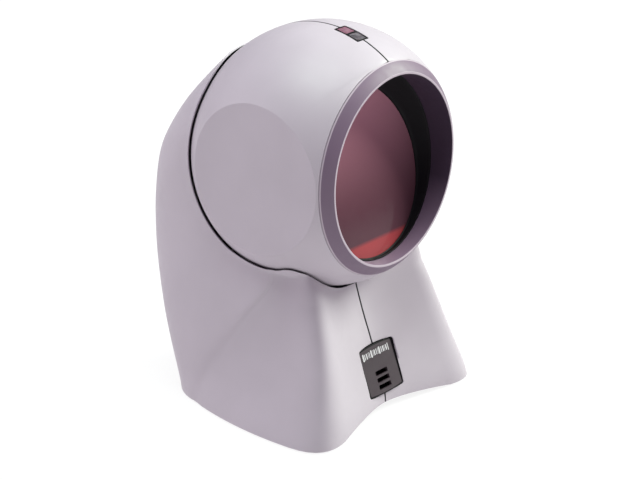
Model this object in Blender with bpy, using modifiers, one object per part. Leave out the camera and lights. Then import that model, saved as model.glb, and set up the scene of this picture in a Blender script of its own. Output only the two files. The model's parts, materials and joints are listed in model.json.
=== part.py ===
"""Hands-free presentation barcode scanner: a ball head that tilts in a two-shell stand.

Metres, +Z up, front towards -Y. Everything hangs on two empties: stand_origin, on the floor below the
ball's centre, and head_pivot, at the ball's centre on the tilt axis (X). Places below are relative to
the empty that a piece belongs to. The world origin is the middle of the object's box on the floor.
"""
import math

import bmesh
import bpy
from mathutils import Matrix, Vector

# ---- driving sizes -------------------------------------------------------------------------------
HEAD_Y = -0.0158          # ball centre, behind (+) or in front (-) of the box's middle
HEAD_Z = 0.0990           # ball centre above the floor
BALL_R = 0.0510           # outside of the head
HEAD_WALL = 0.0020
FLAT_X = 0.04185          # the ball's flat round sides
RING_Y = -0.0302          # plane where the head shells stop and the bezel starts
BEZEL_Y = -0.0340         # front edge of the bezel
BEZEL_R = 0.0363          # bore of the bezel
BEZEL_BACK = -0.0236      # back end of the bezel, on the axis
BEZEL_TILT = math.radians(7)
WINDOW_Y, WINDOW_Z = -0.0174, -0.0036
WINDOW_TILT = math.radians(15)
WINDOW_VIEW_R = 0.0336    # clear radius of the window
WINDOW_R = 0.0347
WINDOW_T = 0.0015
GAP = 0.0003              # between pieces that touch
PARTING = 0.00015         # half the gap between left and right shells
RUN = 0.0005              # running gap round the ball
STAND_WALL = 0.0022
CRADLE_WALL = 0.0020
STEM_ANGLE = math.radians(50)   # tilt stem, back from straight down
TILT_LIMIT = math.radians(15)
STEM_R = 0.0047
STEM_BORE = 0.0034

SEGMENTS = 40
AXIS_X, AXIS_Y, AXIS_Z = Vector((1, 0, 0)), Vector((0, 1, 0)), Vector((0, 0, 1))

# ---- stand outline: each list is (height, value), joined by a smooth curve -------------------------
COWL_HALF_WIDTH = [(0.0008, 0.0431), (0.030, 0.0423), (0.054, 0.0393), (0.066, 0.0378), (0.076, 0.0379),
                   (0.098, 0.0385), (0.118, 0.0364), (0.128, 0.0326), (0.136, 0.0282), (0.144, 0.0225)]
COWL_BACK = [(0.0008, 0.0533), (0.030, 0.0633), (0.066, 0.0705), (0.092, 0.0666), (0.115, 0.0534),
             (0.136, 0.0361), (0.144, 0.0286)]
COWL_SQUARENESS = [(0.0008, 3.0), (0.060, 3.2), (0.110, 3.4), (0.144, 2.1)]
FRONT_MIDDLE = [(0.0008, -0.0299), (0.003, -0.0304), (0.020, -0.0257), (0.040, -0.0183), (0.066, -0.0080)]
FRONT_FOLD = [(0.0008, 0.0073), (0.066, 0.0115)]
FOOT_X = [(0.0008, 0.0508), (0.003, 0.0496), (0.020, 0.0446), (0.040, 0.0399), (0.057, 0.0374),
          (0.066, 0.0365), (0.100, 0.0350), (0.144, 0.0175)]
FOOT_Y = [(0.0008, -0.0412), (0.003, -0.0411), (0.020, -0.0366), (0.040, -0.0310), (0.057, -0.0248),
          (0.066, -0.0170)]
CREASE_Y = [(0.0008, 0.0352), (0.020, 0.0246), (0.040, 0.0103), (0.057, -0.0035), (0.066, -0.0055)]
SIDE_BOW = [(0.0008, 0.0050), (0.010, 0.0035), (0.025, 0.0014), (0.045, -0.0008), (0.066, -0.0036)]
CORNER_RADIUS = [(0.0008, 0.0080), (0.030, 0.0060), (0.066, 0.0055)]
COWL_CENTRE_Y = 0.0120
COWL_FRONT_REACH = 0.0320
STAND_HEIGHTS = [0.0008, 0.003, 0.007, 0.013, 0.020, 0.027, 0.034, 0.041, 0.048, 0.054, 0.060, 0.066,
                 0.074, 0.082, 0.090, 0.098, 0.106, 0.113, 0.120, 0.126, 0.132, 0.137, 0.142]


def smooth_value(table, height):
    """Value of a (height, value) table on a monotone cubic curve, level beyond its ends."""
    if height <= table[0][0]:
        return table[0][1]
    if height >= table[-1][0]:
        return table[-1][1]
    rises = [(b[1] - a[1]) / (b[0] - a[0]) for a, b in zip(table, table[1:])]
    slopes = [rises[0]]
    for before, after in zip(rises, rises[1:]):
        slopes.append(0.0 if before * after <= 0 else 2 * before * after / (before + after))
    slopes.append(rises[-1])
    index = next(i for i in range(len(rises)) if height <= table[i + 1][0])
    (z0, v0), (z1, v1) = table[index], table[index + 1]
    step = z1 - z0
    t = (height - z0) / step
    return ((2 * t ** 3 - 3 * t ** 2 + 1) * v0 + (t ** 3 - 2 * t ** 2 + t) * step * slopes[index]
            + (3 * t ** 2 - 2 * t ** 3) * v1 + (t ** 3 - t ** 2) * step * slopes[index + 1])


def stand_half_outline(height):
    """Right half of the stand's outline at a height, from the front middle round to the back middle."""
    half_width = smooth_value(COWL_HALF_WIDTH, height)
    reach = smooth_value(COWL_BACK, height) - COWL_CENTRE_Y
    power = smooth_value(COWL_SQUARENESS, height)
    front_y = smooth_value(FRONT_MIDDLE, height)
    corner = Vector((smooth_value(FOOT_X, height), smooth_value(FOOT_Y, height)))
    crease_y = smooth_value(CREASE_Y, height) - COWL_CENTRE_Y
    side_reach = reach if crease_y > 0 else COWL_FRONT_REACH
    crease_x = half_width * (1 - abs(crease_y / side_reach) ** power) ** (1 / power)
    crease = Vector((crease_x, crease_y + COWL_CENTRE_Y))

    fold = smooth_value(FRONT_FOLD, height)
    span = math.hypot(corner.x, fold)
    front_way = Vector((1, (corner.y - front_y) * corner.x / span / (span - fold))).normalized()
    side_way = (crease - corner).normalized()
    turn = front_way.angle(side_way)
    trim = smooth_value(CORNER_RADIUS, height) * math.tan(turn / 2)
    front_end_x = corner.x - trim * front_way.x
    points = []
    for i in range(6):
        x = front_end_x * i / 5
        points.append(Vector((x, front_y + (corner.y - front_y) * (math.hypot(x, fold) - fold)
                              / (span - fold))))
    start, end = points[-1], corner + side_way * trim
    for i in range(1, 4):
        t = i / 4
        points.append((1 - t) ** 2 * start + 2 * t * (1 - t) * corner + t * t * end)
    bow = Vector((side_way.y, -side_way.x)) * smooth_value(SIDE_BOW, height)
    for i in range(5):
        t = i / 5
        points.append(end.lerp(crease, t) + bow * (4 * t * (1 - t)))
    first = math.asin(math.copysign(abs(crease_y / side_reach) ** (power / 2), crease_y))
    for i in range(11):
        angle = first + (math.pi / 2 - first) * i / 10
        side, back = math.cos(angle), math.sin(angle)
        y = math.copysign(abs(back) ** (2 / power), back) * (reach if back > 0 else COWL_FRONT_REACH)
        points.append(Vector((half_width * max(side, 0.0) ** (2 / power), COWL_CENTRE_Y + y)))
    points[0].x = points[-1].x = 0.0
    return points


def stand_outline(height, inset=0.0):
    """Whole outline, counter-clockwise from above, moved inwards by inset."""
    half = stand_half_outline(height)
    whole = half + [Vector((-p.x, p.y)) for p in reversed(half[1:-1])]
    if not inset:
        return whole
    count = len(whole)
    moved = []
    for i, point in enumerate(whole):
        along = (whole[(i + 1) % count] - whole[i - 1]).normalized()
        moved.append(point + Vector((-along.y, along.x)) * inset)
    return moved


# ---- building blocks -------------------------------------------------------------------------------
def clear_scene():
    for item in list(bpy.data.objects):
        bpy.data.objects.remove(item, do_unlink=True)


def new_collection(name):
    collection = bpy.data.collections.new(name)
    bpy.context.scene.collection.children.link(collection)
    return collection


def material(name, colour, roughness, metallic=0.0, alpha=1.0):
    made = bpy.data.materials.new(name)
    made.use_nodes = True
    shader = made.node_tree.nodes["Principled BSDF"]
    shader.inputs["Base Color"].default_value = (*colour, 1)
    shader.inputs["Roughness"].default_value = roughness
    shader.inputs["Metallic"].default_value = metallic
    shader.inputs["Alpha"].default_value = alpha
    return made


def empty(name, place):
    made = bpy.data.objects.new(name, None)
    made.location = place
    PARTS.objects.link(made)
    return made


def add_mesh(name, mesh, look, parent, place=(0, 0, 0), turn=None, smooth=False):
    """Put a mesh in the parts, or in the cutters where look is None."""
    made = bpy.data.objects.new(name, mesh)
    made.parent = parent
    made.location = place
    if turn is not None:
        made.rotation_euler = turn.to_euler()
    if look is None:
        CUTTERS.objects.link(made)
        made.hide_render = True
        made.display_type = "WIRE"
    else:
        mesh.materials.clear()
        mesh.materials.append(look)
        PARTS.objects.link(made)
    if smooth:
        mesh.shade_smooth()
        mesh.set_sharp_from_angle(angle=math.radians(35))
    return made


def mesh_from(bm, name):
    bmesh.ops.recalc_face_normals(bm, faces=bm.faces[:])
    mesh = bpy.data.meshes.new(name)
    bm.to_mesh(mesh)
    bm.free()
    return mesh


def turn_to(axis):
    return Vector(axis).to_track_quat("Z", "Y").to_matrix()


def box(name, size, centre, look, parent, turn=None, bevel=0.0):
    bm = bmesh.new()
    bmesh.ops.create_cube(bm, size=1)
    bmesh.ops.scale(bm, vec=size, verts=bm.verts[:])
    made = add_mesh(name, mesh_from(bm, name), look, parent, centre, turn)
    if bevel:
        rounding = made.modifiers.new("edges", "BEVEL")
        rounding.width = bevel
        rounding.segments = 1
    return made


def cylinder(name, radius, length, centre, axis, look, parent, segments=24):
    bm = bmesh.new()
    bmesh.ops.create_cone(bm, cap_ends=True, segments=segments, radius1=radius, radius2=radius,
                          depth=length)
    return add_mesh(name, mesh_from(bm, name), look, parent, centre, turn_to(axis), smooth=True)


def ball(name, radius, look, parent, segments=SEGMENTS):
    """A sphere whose poles lie on the window's axis."""
    bm = bmesh.new()
    bmesh.ops.create_uvsphere(bm, u_segments=segments, v_segments=segments // 2, radius=radius)
    bmesh.ops.rotate(bm, matrix=Matrix.Rotation(math.pi / 2, 3, "X"), verts=bm.verts[:])
    return add_mesh(name, mesh_from(bm, name), look, parent, smooth=True)


def turned(name, profile, centre, axis, look, parent, steps=SEGMENTS, ring=False):
    """Turn an (r, z) profile round axis: down the outer side, and up the bore where it is a ring."""
    mesh = bpy.data.meshes.new(name)
    points = [(r, 0, z) for r, z in profile]
    edges = [(i, i + 1) for i in range(len(points) - 1)]
    if ring:
        edges.append((len(points) - 1, 0))
    mesh.from_pydata(points, edges, [])
    made = add_mesh(name, mesh, look, parent, centre, turn_to(axis))
    screw = made.modifiers.new("turn", "SCREW")
    screw.steps = screw.render_steps = steps
    screw.use_merge_vertices = True
    screw.merge_threshold = 0.00001
    screw.use_smooth_shade = False
    return made


def prism(name, outline, depth, place, turn, look, parent):
    """A flat outline in XY, pushed along Z by depth, centred on its own plane."""
    bm = bmesh.new()
    base = bm.faces.new([bm.verts.new((x, y, -depth / 2)) for x, y in outline])
    grown = bmesh.ops.extrude_face_region(bm, geom=[base])
    tops = [v for v in grown["geom"] if isinstance(v, bmesh.types.BMVert)]
    bmesh.ops.translate(bm, vec=(0, 0, depth), verts=tops)
    return add_mesh(name, mesh_from(bm, name), look, parent, place, turn)


def loft(name, rings, look, parent, closed_ring=False):
    """Skin a list of rings of equal length; the ends are capped, or joined to each other."""
    bm = bmesh.new()
    rows = [[bm.verts.new(point) for point in ring] for ring in rings]
    count = len(rows[0])
    pairs = list(zip(rows, rows[1:]))
    if closed_ring:
        pairs.append((rows[-1], rows[0]))
    for low, high in pairs:
        for i in range(count):
            j = (i + 1) % count
            bm.faces.new((low[i], low[j], high[j], high[i]))
    if not closed_ring:
        bm.faces.new(list(reversed(rows[0])))
        bm.faces.new(rows[-1])
    return add_mesh(name, mesh_from(bm, name), look, parent)


def boolean(target, cutter, operation="DIFFERENCE"):
    change = target.modifiers.new(cutter.name, "BOOLEAN")
    change.operation = operation
    change.object = cutter
    return target


def settled_mesh(item, name):
    """The object's mesh with its modifiers applied."""
    graph = bpy.context.evaluated_depsgraph_get()
    graph.update()
    mesh = bpy.data.meshes.new_from_object(item.evaluated_get(graph))
    mesh.name = name
    return mesh


def mirrored_pair(guide, left_name, right_name, look, parent):
    """The guide's settled mesh as the right piece, and its mirror image as the left one."""
    right = add_mesh(right_name, settled_mesh(guide, right_name), look, parent, smooth=True)
    mirrored = right.data.copy()
    mirrored.name = left_name
    mirrored.transform(Matrix.Scale(-1, 4, AXIS_X))
    mirrored.flip_normals()
    add_mesh(left_name, mirrored, look, parent)


def screw_profile(head_r, head_h, shank_r, length):
    """Pan head on top of the shank, with the head's underside at z = 0."""
    return [(0, head_h), (head_r * 0.8, head_h), (head_r, head_h * 0.6), (head_r, 0), (shank_r, 0),
            (shank_r, -length), (0, -length)]


def screw(name, place, axis, parent, head_r=0.0026, head_h=0.0017, shank_r=0.0012, length=0.0100):
    """A pan-head screw with a hex socket; axis points out of the head."""
    made = turned(name, screw_profile(head_r, head_h, shank_r, length), place, axis, STEEL, parent,
                  steps=10)
    socket = cylinder(name + "_socket", head_r * 0.45, head_h, Vector(place) + Vector(axis) * head_h,
                      axis, None, parent, segments=6)
    return boolean(made, socket)


clear_scene()
PARTS = new_collection("presentation_scanner")
CUTTERS = new_collection("cutters")
STAND = empty("stand_origin", (0, HEAD_Y, 0))
HEAD = empty("head_pivot", (0, HEAD_Y, HEAD_Z))

CASE = material("case_grey", (0.66, 0.63, 0.67), 0.45)
BEZEL = material("bezel_lilac", (0.36, 0.31, 0.38), 0.40)
BLACK = material("black_plastic", (0.02, 0.018, 0.022), 0.50)
DARK = material("badge_grey", (0.10, 0.09, 0.10), 0.45)
RED_GLASS = material("window_red", (0.22, 0.05, 0.06), 0.08, alpha=0.8)
STEEL = material("steel", (0.60, 0.60, 0.62), 0.35, 1.0)
IRON = material("ballast_iron", (0.22, 0.22, 0.23), 0.60, 0.8)
RUBBER = material("rubber", (0.03, 0.03, 0.03), 0.85)
BOARD = material("circuit_board", (0.03, 0.18, 0.09), 0.50)
FRAME = material("optical_frame", (0.07, 0.07, 0.08), 0.60)
MIRROR = material("mirror", (0.80, 0.82, 0.85), 0.05, 1.0)
BRASS = material("brass", (0.55, 0.42, 0.18), 0.35, 1.0)
LED_RED = material("led_red", (0.70, 0.08, 0.07), 0.25)
LED_CLEAR = material("led_clear", (0.85, 0.85, 0.88), 0.20)


# ---- stand -----------------------------------------------------------------------------------------
PLATE_Z, PLATE_T = 0.0036, 0.0020
BOSSES = [(0.0310, -0.0262), (0.0362, 0.0280)]       # screw bosses of the right shell
BADGE_SLOPE = math.atan2(0.0074, 0.020)              # lean of the front face at the badge
BADGE_CENTRE = Vector((0, -0.0272, 0.0168))
BADGE_W, BADGE_H, BADGE_T, BADGE_BOW = 0.0206, 0.0178, 0.0012, 0.0014
SLOT_W, SLOT_H, SLOT_STEP = 0.0072, 0.0017, 0.0032
JACK_W, JACK_H, JACK_L = 0.0140, 0.0120, 0.0160
BOARD_Z = 0.0083
JACK_Z = BOARD_Z + 0.0008 + GAP + JACK_H / 2
JACK_FRONT = 0.0548                                  # y of the socket's mouth


def stand_rings(inset, heights):
    return [[(p.x, p.y, z) for p in stand_outline(z, inset)] for z in heights]


def badge_frame():
    """Axes of the sloping front face: x across, y up the slope, z outwards."""
    up = Vector((0, math.sin(BADGE_SLOPE), math.cos(BADGE_SLOPE)))
    out = Vector((0, -math.cos(BADGE_SLOPE), math.sin(BADGE_SLOPE)))
    return Matrix((AXIS_X, up, out)).transposed()


def bowed_outline(width, height, bow, steps=6):
    """A rectangle whose top and bottom edges bow outwards."""
    upper = []
    for i in range(steps + 1):
        x = width / 2 - width * i / steps
        upper.append((x, height / 2 + bow * (1 - (2 * x / width) ** 2)))
    return upper + [(-x, -y) for x, y in upper]


def slot_places():
    return [-0.0050 + SLOT_STEP * i for i in range(3)]


def badge():
    turn = badge_frame()
    plate = prism("front_badge", bowed_outline(BADGE_W, BADGE_H, BADGE_BOW), BADGE_T, BADGE_CENTRE,
                  turn, DARK, STAND)
    for i, rise in enumerate(slot_places()):
        place = BADGE_CENTRE + turn @ Vector((0, rise, 0))
        boolean(plate, box(f"badge_slot_{i}", (SLOT_W, SLOT_H, 0.004), place, None, STAND, turn))
    return turn


def tilt_axis(angle=STEM_ANGLE):
    """Direction from the ball's centre down the tilt stem."""
    return Vector((0, math.sin(angle), -math.cos(angle)))


def arc_slot():
    """The slot that the stem sweeps through the cradle; its ends are the tilt stops."""
    clear = STEM_R + GAP
    near, far = BALL_R - 0.004, BALL_R + 0.008
    spread = TILT_LIMIT + math.asin(clear / BALL_R)
    outline = []
    steps = 8
    for radius, order in ((near, range(steps + 1)), (far, range(steps, -1, -1))):
        for i in order:
            angle = STEM_ANGLE - spread + 2 * spread * i / steps
            outline.append((radius * math.sin(angle), -radius * math.cos(angle)))
    turn = Matrix((AXIS_Y, AXIS_Z, AXIS_X)).transposed()
    return prism("arc_slot", outline, 2 * clear, (0, 0, 0), turn, None, HEAD)


def stand_shells():
    halves = [[(max(p.x, PARTING), p.y, z) for p in stand_half_outline(z)] for z in STAND_HEIGHTS]
    whole = loft("stand_block", halves, None, STAND)
    inner_heights = [-0.002] + STAND_HEIGHTS[1:-2]
    cavity = loft("stand_cavity", stand_rings(STAND_WALL, inner_heights), None, STAND)
    boolean(cavity, ball("cradle_ball", BALL_R + RUN + CRADLE_WALL, None, HEAD))
    for i, (x, y) in enumerate(BOSSES):
        for side in (-1, 1):
            post = cylinder(f"stand_boss_{i}_{side}", 0.0045, 0.020, (side * x, y, 0.0160), AXIS_Z,
                            None, STAND, segments=16)
            boolean(cavity, post)
    boolean(whole, cavity)
    boolean(whole, ball("ball_room", BALL_R + RUN, None, HEAD))
    boolean(whole, arc_slot())
    for i, (x, y) in enumerate(BOSSES):
        for side in (-1, 1):
            hole = cylinder(f"stand_hole_{i}_{side}", 0.0015, 0.016, (side * x, y, 0.0120), AXIS_Z,
                            None, STAND, segments=12)
            boolean(whole, hole)
    turn = badge_frame()
    seat = prism("badge_seat", bowed_outline(BADGE_W + 2 * GAP, BADGE_H + 2 * GAP, BADGE_BOW), 0.0060,
                 BADGE_CENTRE + turn @ Vector((0, 0, 0.0030 - BADGE_T / 2 - GAP)), turn, None, STAND)
    boolean(whole, seat)
    sound = box("sound_hole", (0.0100, 0.0110, 0.0120), BADGE_CENTRE + turn @ Vector((0, -0.0018, -0.004)),
                None, STAND, turn)
    boolean(whole, sound)
    arch_r = 0.250
    arch = cylinder("front_arch", arch_r, 0.060, (0, -0.0320, 0.0030 - arch_r), AXIS_Y, None, STAND,
                    segments=160)
    boolean(whole, arch)
    mouth = box("jack_mouth", (JACK_W + 2 * GAP, 0.0160, JACK_H + 2 * GAP),
                (0, JACK_FRONT - 0.0010, JACK_Z), None, STAND)
    boolean(whole, mouth)
    mirrored_pair(whole, "stand_shell_left", "stand_shell_right", CASE, STAND)


def base_plate():
    rings = [[(p.x, p.y, z) for p in stand_outline(0.005, STAND_WALL + 0.0008)]
             for z in (PLATE_Z, PLATE_Z + PLATE_T)]
    plate = loft("base_plate", rings, BLACK, STAND)
    for i, (x, y) in enumerate(BOSSES):
        for side, word in ((-1, "left"), (1, "right")):
            hole = cylinder(f"plate_hole_{i}_{side}", 0.0016, 0.010, (side * x, y, PLATE_Z), AXIS_Z,
                            None, STAND, segments=12)
            boolean(plate, hole)
            row = ("front", "back")[i]
            screw(f"base_screw_{row}_{word}", (side * x, y, PLATE_Z - GAP), -AXIS_Z, STAND)
    for row, y, x in (("front", -0.0150, 0.0370), ("back", 0.0290, 0.0200)):
        for side, word in ((-1, "left"), (1, "right")):
            turned(f"foot_{row}_{word}", [(0, PLATE_Z - GAP), (0.0050, PLATE_Z - GAP), (0.0050, 0.0008),
                                          (0.0042, 0), (0, 0)],
                   (side * x, y, 0), AXIS_Z, RUBBER, STAND, steps=20)
    return plate


def ballast(plate):
    top = PLATE_Z + PLATE_T
    weight = box("ballast_weight", (0.0440, 0.0240, 0.0120), (0, 0.0010, top + GAP + 0.0060), IRON,
                 STAND, bevel=0.0010)
    for side, word in ((-1, "left"), (1, "right")):
        place = (side * 0.0150, 0.0010, PLATE_Z - GAP)
        for target, deep in ((plate, 0.010), (weight, 0.020)):
            boolean(target, cylinder(f"{target.name}_bore_{word}", 0.0016, deep, place, AXIS_Z, None,
                                     STAND, segments=12))
        screw(f"ballast_screw_{word}", place, -AXIS_Z, STAND, length=0.0090)


def interface(plate):
    board = box("interface_board", (0.0400, 0.0270, 0.0016), (0, 0.0360, BOARD_Z), BOARD, STAND)
    jack = box("cable_socket", (JACK_W, JACK_L, JACK_H), (0, JACK_FRONT - JACK_L / 2, JACK_Z), BLACK,
               STAND)
    boolean(jack, box("socket_room", (0.0116, 0.0260, 0.0068), (0, JACK_FRONT, JACK_Z + 0.0012), None,
                      STAND))
    boolean(jack, box("latch_room", (0.0060, 0.0260, 0.0040), (0, JACK_FRONT, JACK_Z - 0.0030), None,
                      STAND))
    for side, word in ((-1, "left"), (1, "right")):
        x, y = side * 0.0150, 0.0270
        top = BOARD_Z + 0.0008
        spacer = cylinder(f"board_spacer_{word}", 0.0030, BOARD_Z - 0.0008 - GAP - PLATE_Z - 0.0005,
                          (x, y, (BOARD_Z - 0.0008 - GAP + PLATE_Z + 0.0005) / 2), AXIS_Z, None, STAND,
                          segments=16)
        boolean(plate, spacer, "UNION")
        boolean(board, cylinder(f"board_hole_{word}", 0.0015, 0.006, (x, y, BOARD_Z), AXIS_Z, None,
                                STAND, segments=12))
        boolean(plate, cylinder(f"spacer_hole_{word}", 0.0015, 0.008, (x, y, BOARD_Z - 0.0020), AXIS_Z,
                                None, STAND, segments=12))
        screw(f"board_screw_{word}", (x, y, top + GAP), AXIS_Z, STAND, length=0.0045)


def speaker():
    turn = badge_frame()
    out = turn @ AXIS_Z
    centre = BADGE_CENTRE + turn @ Vector((0, 0.0005, -0.0068))
    turned("speaker", [(0, 0.0010), (0.0032, 0.0010), (0.0060, 0.0018), (0.0072, 0.0018),
                       (0.0072, 0.0), (0.0044, -0.0022), (0.0044, -0.0036), (0, -0.0036)],
           centre, out, BLACK, STAND, steps=20)


# ---- tilt joint ------------------------------------------------------------------------------------
def tilt_parts():
    down = tilt_axis()
    flange_r, flange_top = 0.0080, BALL_R - HEAD_WALL - 0.0030
    cradle_out = BALL_R + RUN + CRADLE_WALL
    end = cradle_out + 0.0056
    turned("tilt_stem", [(STEM_BORE, end), (STEM_R, end), (STEM_R, flange_top + 0.0014),
                         (flange_r, flange_top + 0.0014), (flange_r, flange_top), (STEM_BORE, flange_top)],
           (0, 0, 0), down, STEEL, HEAD, steps=24, ring=True)
    low = cradle_out + GAP
    turned("spring_washer", [(STEM_R + GAP, low + 0.0016), (0.0060, low + 0.0016), (0.0092, low + 0.0013),
                             (0.0092, low + 0.0008), (0.0060, low + 0.0010), (STEM_R + GAP, low + 0.0010)],
           (0, 0, 0), down, STEEL, HEAD, steps=24, ring=True)
    nut_low = low + 0.0016 + GAP
    nut_high = 0.0030
    nut = cylinder("ring_nut", 0.0084, nut_high, down * (nut_low + nut_high / 2), down, BRASS, HEAD,
                   segments=6)
    boolean(nut, cylinder("nut_bore", STEM_R + GAP, 2 * nut_high, down * (nut_low + nut_high / 2), down,
                          None, HEAD, segments=24))


def harness():
    """Lead from the main board through the hollow stem to the interface board."""
    down = tilt_axis()
    route = [Vector((0, 0.0272, -0.0080)), Vector((0, 0.0272, -0.0165)), down * 0.0370, down * 0.0480,
             down * 0.0610, Vector((0, 0.0500, -0.0560)), Vector((0, 0.0430, -0.0690)),
             Vector((0.0010, 0.0340, -0.0780)), Vector((0.0020, 0.0305, -0.0850)),
             Vector((0.0020, 0.0305, -0.0893))]
    curve = bpy.data.curves.new("harness", "CURVE")
    curve.dimensions = "3D"
    curve.bevel_depth = 0.0020
    curve.bevel_resolution = 2
    curve.use_fill_caps = True
    spline = curve.splines.new("POLY")
    points = smooth_route(route, 3)
    spline.points.add(len(points) - 1)
    for point, place in zip(spline.points, points):
        point.co = (*place, 1)
    made = bpy.data.objects.new("harness", curve)
    made.parent = HEAD
    curve.materials.append(BLACK)
    PARTS.objects.link(made)


def smooth_route(route, steps):
    """Catmull-Rom curve through the route's points."""
    ends = [2 * route[0] - route[1]] + route + [2 * route[-1] - route[-2]]
    points = []
    for a, b, c, d in zip(ends, ends[1:], ends[2:], ends[3:]):
        for i in range(steps):
            t = i / steps
            points.append(0.5 * (2 * b + (c - a) * t + (2 * a - 5 * b + 4 * c - d) * t * t
                                 + (3 * b - a - 3 * c + d) * t ** 3))
    return points + [route[-1]]


# ---- head ------------------------------------------------------------------------------------------
INDICATOR_LEAN = math.radians(14.5)      # forward of the top
INDICATOR_W, INDICATOR_L = 0.0068, 0.0116
FRAME_Y, FRAME_T = 0.0220, 0.0025        # optical frame plate
POSTS = [(0.0130, 0.0320), (0.0130, -0.0320)]


def indicator_frame_axes():
    """Axes of the indicator on the crown: x across, y towards the back, z outwards."""
    out = Vector((0, -math.sin(INDICATOR_LEAN), math.cos(INDICATOR_LEAN)))
    back = Vector((0, math.cos(INDICATOR_LEAN), math.sin(INDICATOR_LEAN)))
    return Matrix((AXIS_X, back, out)).transposed()


def indicator_box(name, width, length, along, low, high, look):
    turn = indicator_frame_axes()
    centre = turn @ Vector((0, along, (low + high) / 2))
    return box(name, (width, length, high - low), centre, look, HEAD, turn)


def head_shells():
    whole = ball("head_ball", BALL_R, None, HEAD)
    reach = 0.2
    kept = box("head_flats", (FLAT_X - PARTING, reach, reach),
               ((FLAT_X + PARTING) / 2, reach / 2 + RING_Y, 0), None, HEAD)
    boolean(whole, kept, "INTERSECT")
    room = ball("head_room", BALL_R - HEAD_WALL, None, HEAD)
    boolean(room, box("room_flats", (2 * (FLAT_X - HEAD_WALL), reach, reach), (0, 0, 0), None, HEAD),
            "INTERSECT")
    for x, z in POSTS:
        for side in (-1, 1):
            name = f"head_post_{side}_{z > 0}"
            length = 0.0200
            start = FRAME_Y + FRAME_T + GAP
            boolean(room, cylinder(name, 0.0036, length, (side * x, start + length / 2, z), AXIS_Y, None,
                                   HEAD, segments=16))
    boolean(whole, room)
    for x, z in POSTS:
        for side in (-1, 1):
            boolean(whole, cylinder(f"post_hole_{side}_{z > 0}", 0.0015, 0.0150,
                                    (side * x, FRAME_Y + 0.0050, z), AXIS_Y, None, HEAD, segments=12))
    boolean(whole, indicator_box("indicator_hole", INDICATOR_W + 2 * GAP, INDICATOR_L + 2 * GAP, 0,
                                 BALL_R - 0.006, BALL_R + 0.004, None))
    down = tilt_axis()
    boolean(whole, cylinder("stem_hole", STEM_R + GAP, 0.010, down * BALL_R, down, None, HEAD))
    mirrored_pair(whole, "head_shell_left", "head_shell_right", CASE, HEAD)


def window_parts():
    across = BALL_R * 0.7
    lip = math.sqrt(BALL_R ** 2 - (RING_Y - GAP) ** 2)
    front_r = math.sqrt(BALL_R ** 2 - BEZEL_Y ** 2) - 0.0007
    sleeve_r = BEZEL_R + 0.0018
    front = -AXIS_Y
    top, seam = -BEZEL_Y, -(RING_Y - GAP)
    bezel = turned("window_bezel",
                   [(BEZEL_R, top), (front_r, top), ((front_r + lip) / 2 + 0.0004, (top + seam) / 2 + 0.0002),
                    (lip, seam), (sleeve_r, seam), (sleeve_r, 0.0150), (BEZEL_R, 0.0150)],
                   (0, 0, 0), front, BEZEL, HEAD, ring=True)
    tilt = Matrix.Rotation(-BEZEL_TILT, 3, "X")
    depth = 0.040
    boolean(bezel, box("bezel_back", (2 * across + 0.03, depth, 2 * across + 0.03),
                       Vector((0, BEZEL_BACK, 0)) + tilt @ Vector((0, depth / 2, 0)), None, HEAD, tilt))

    def hoop(centre, lean, radius):
        turn = Matrix.Rotation(-lean, 3, "X")
        spots = []
        for i in range(SEGMENTS):
            angle = 2 * math.pi * i / SEGMENTS
            spot = turn @ Vector((radius * math.sin(angle), 0, radius * math.cos(angle)))
            spots.append(spot + Vector(centre))
        return spots

    start = (0, BEZEL_BACK + GAP, 0)
    finish = (0, WINDOW_Y, WINDOW_Z)
    wall = 0.0012
    loft("window_baffle", [hoop(start, BEZEL_TILT, BEZEL_R - 0.0002), hoop(start, BEZEL_TILT, BEZEL_R + wall),
                           hoop(finish, WINDOW_TILT, WINDOW_VIEW_R + wall),
                           hoop(finish, WINDOW_TILT, WINDOW_VIEW_R)], BLACK, HEAD, closed_ring=True)
    out = Matrix.Rotation(-WINDOW_TILT, 3, "X") @ front
    cylinder("scan_window", WINDOW_R, WINDOW_T, Vector(finish) - out * (GAP + WINDOW_T / 2), out,
             RED_GLASS, HEAD, segments=SEGMENTS)


def indicator():
    frame = indicator_box("indicator_frame", INDICATOR_W, INDICATOR_L, 0, BALL_R - 0.0040, BALL_R + 0.002,
                          BLACK)
    boolean(frame, ball("indicator_ball", BALL_R, None, HEAD, segments=96), "INTERSECT")
    pane_w, pane_l = INDICATOR_W - 0.0014, INDICATOR_L / 2 - 0.0010
    for name, look, side in (("indicator_lens_red", LED_RED, 1), ("indicator_lens_clear", LED_CLEAR, -1)):
        along = side * (INDICATOR_L / 4 + 0.00005)
        boolean(frame, indicator_box(name + "_room", pane_w, pane_l, along, BALL_R - 0.006,
                                     BALL_R + 0.004, None))
        lens = indicator_box(name, pane_w - 2 * GAP, pane_l - 2 * GAP, along, BALL_R - 0.0040,
                             BALL_R + 0.002, look)
        boolean(lens, ball(name + "_ball", BALL_R - 0.0002, None, HEAD, segments=96), "INTERSECT")
        lamp = name.replace("indicator_lens", "led")
        turn = indicator_frame_axes()
        cylinder(lamp, 0.0015, 0.0026, turn @ Vector((0, along, BALL_R - 0.0060)), turn @ AXIS_Z, look,
                 HEAD, segments=12)
    indicator_box("led_board", 0.0100, 0.0160, 0, BALL_R - 0.0092, BALL_R - 0.0076, BOARD)


MIRROR_ANGLES = {"top": 0, "upper_left": -60, "upper_right": 60, "lower_left": -110, "lower_right": 110}
MIRROR_R, MIRROR_Y = 0.0270, 0.0080
MIRROR_W, MIRROR_L, MIRROR_T = 0.0190, 0.0150, 0.0014


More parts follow.
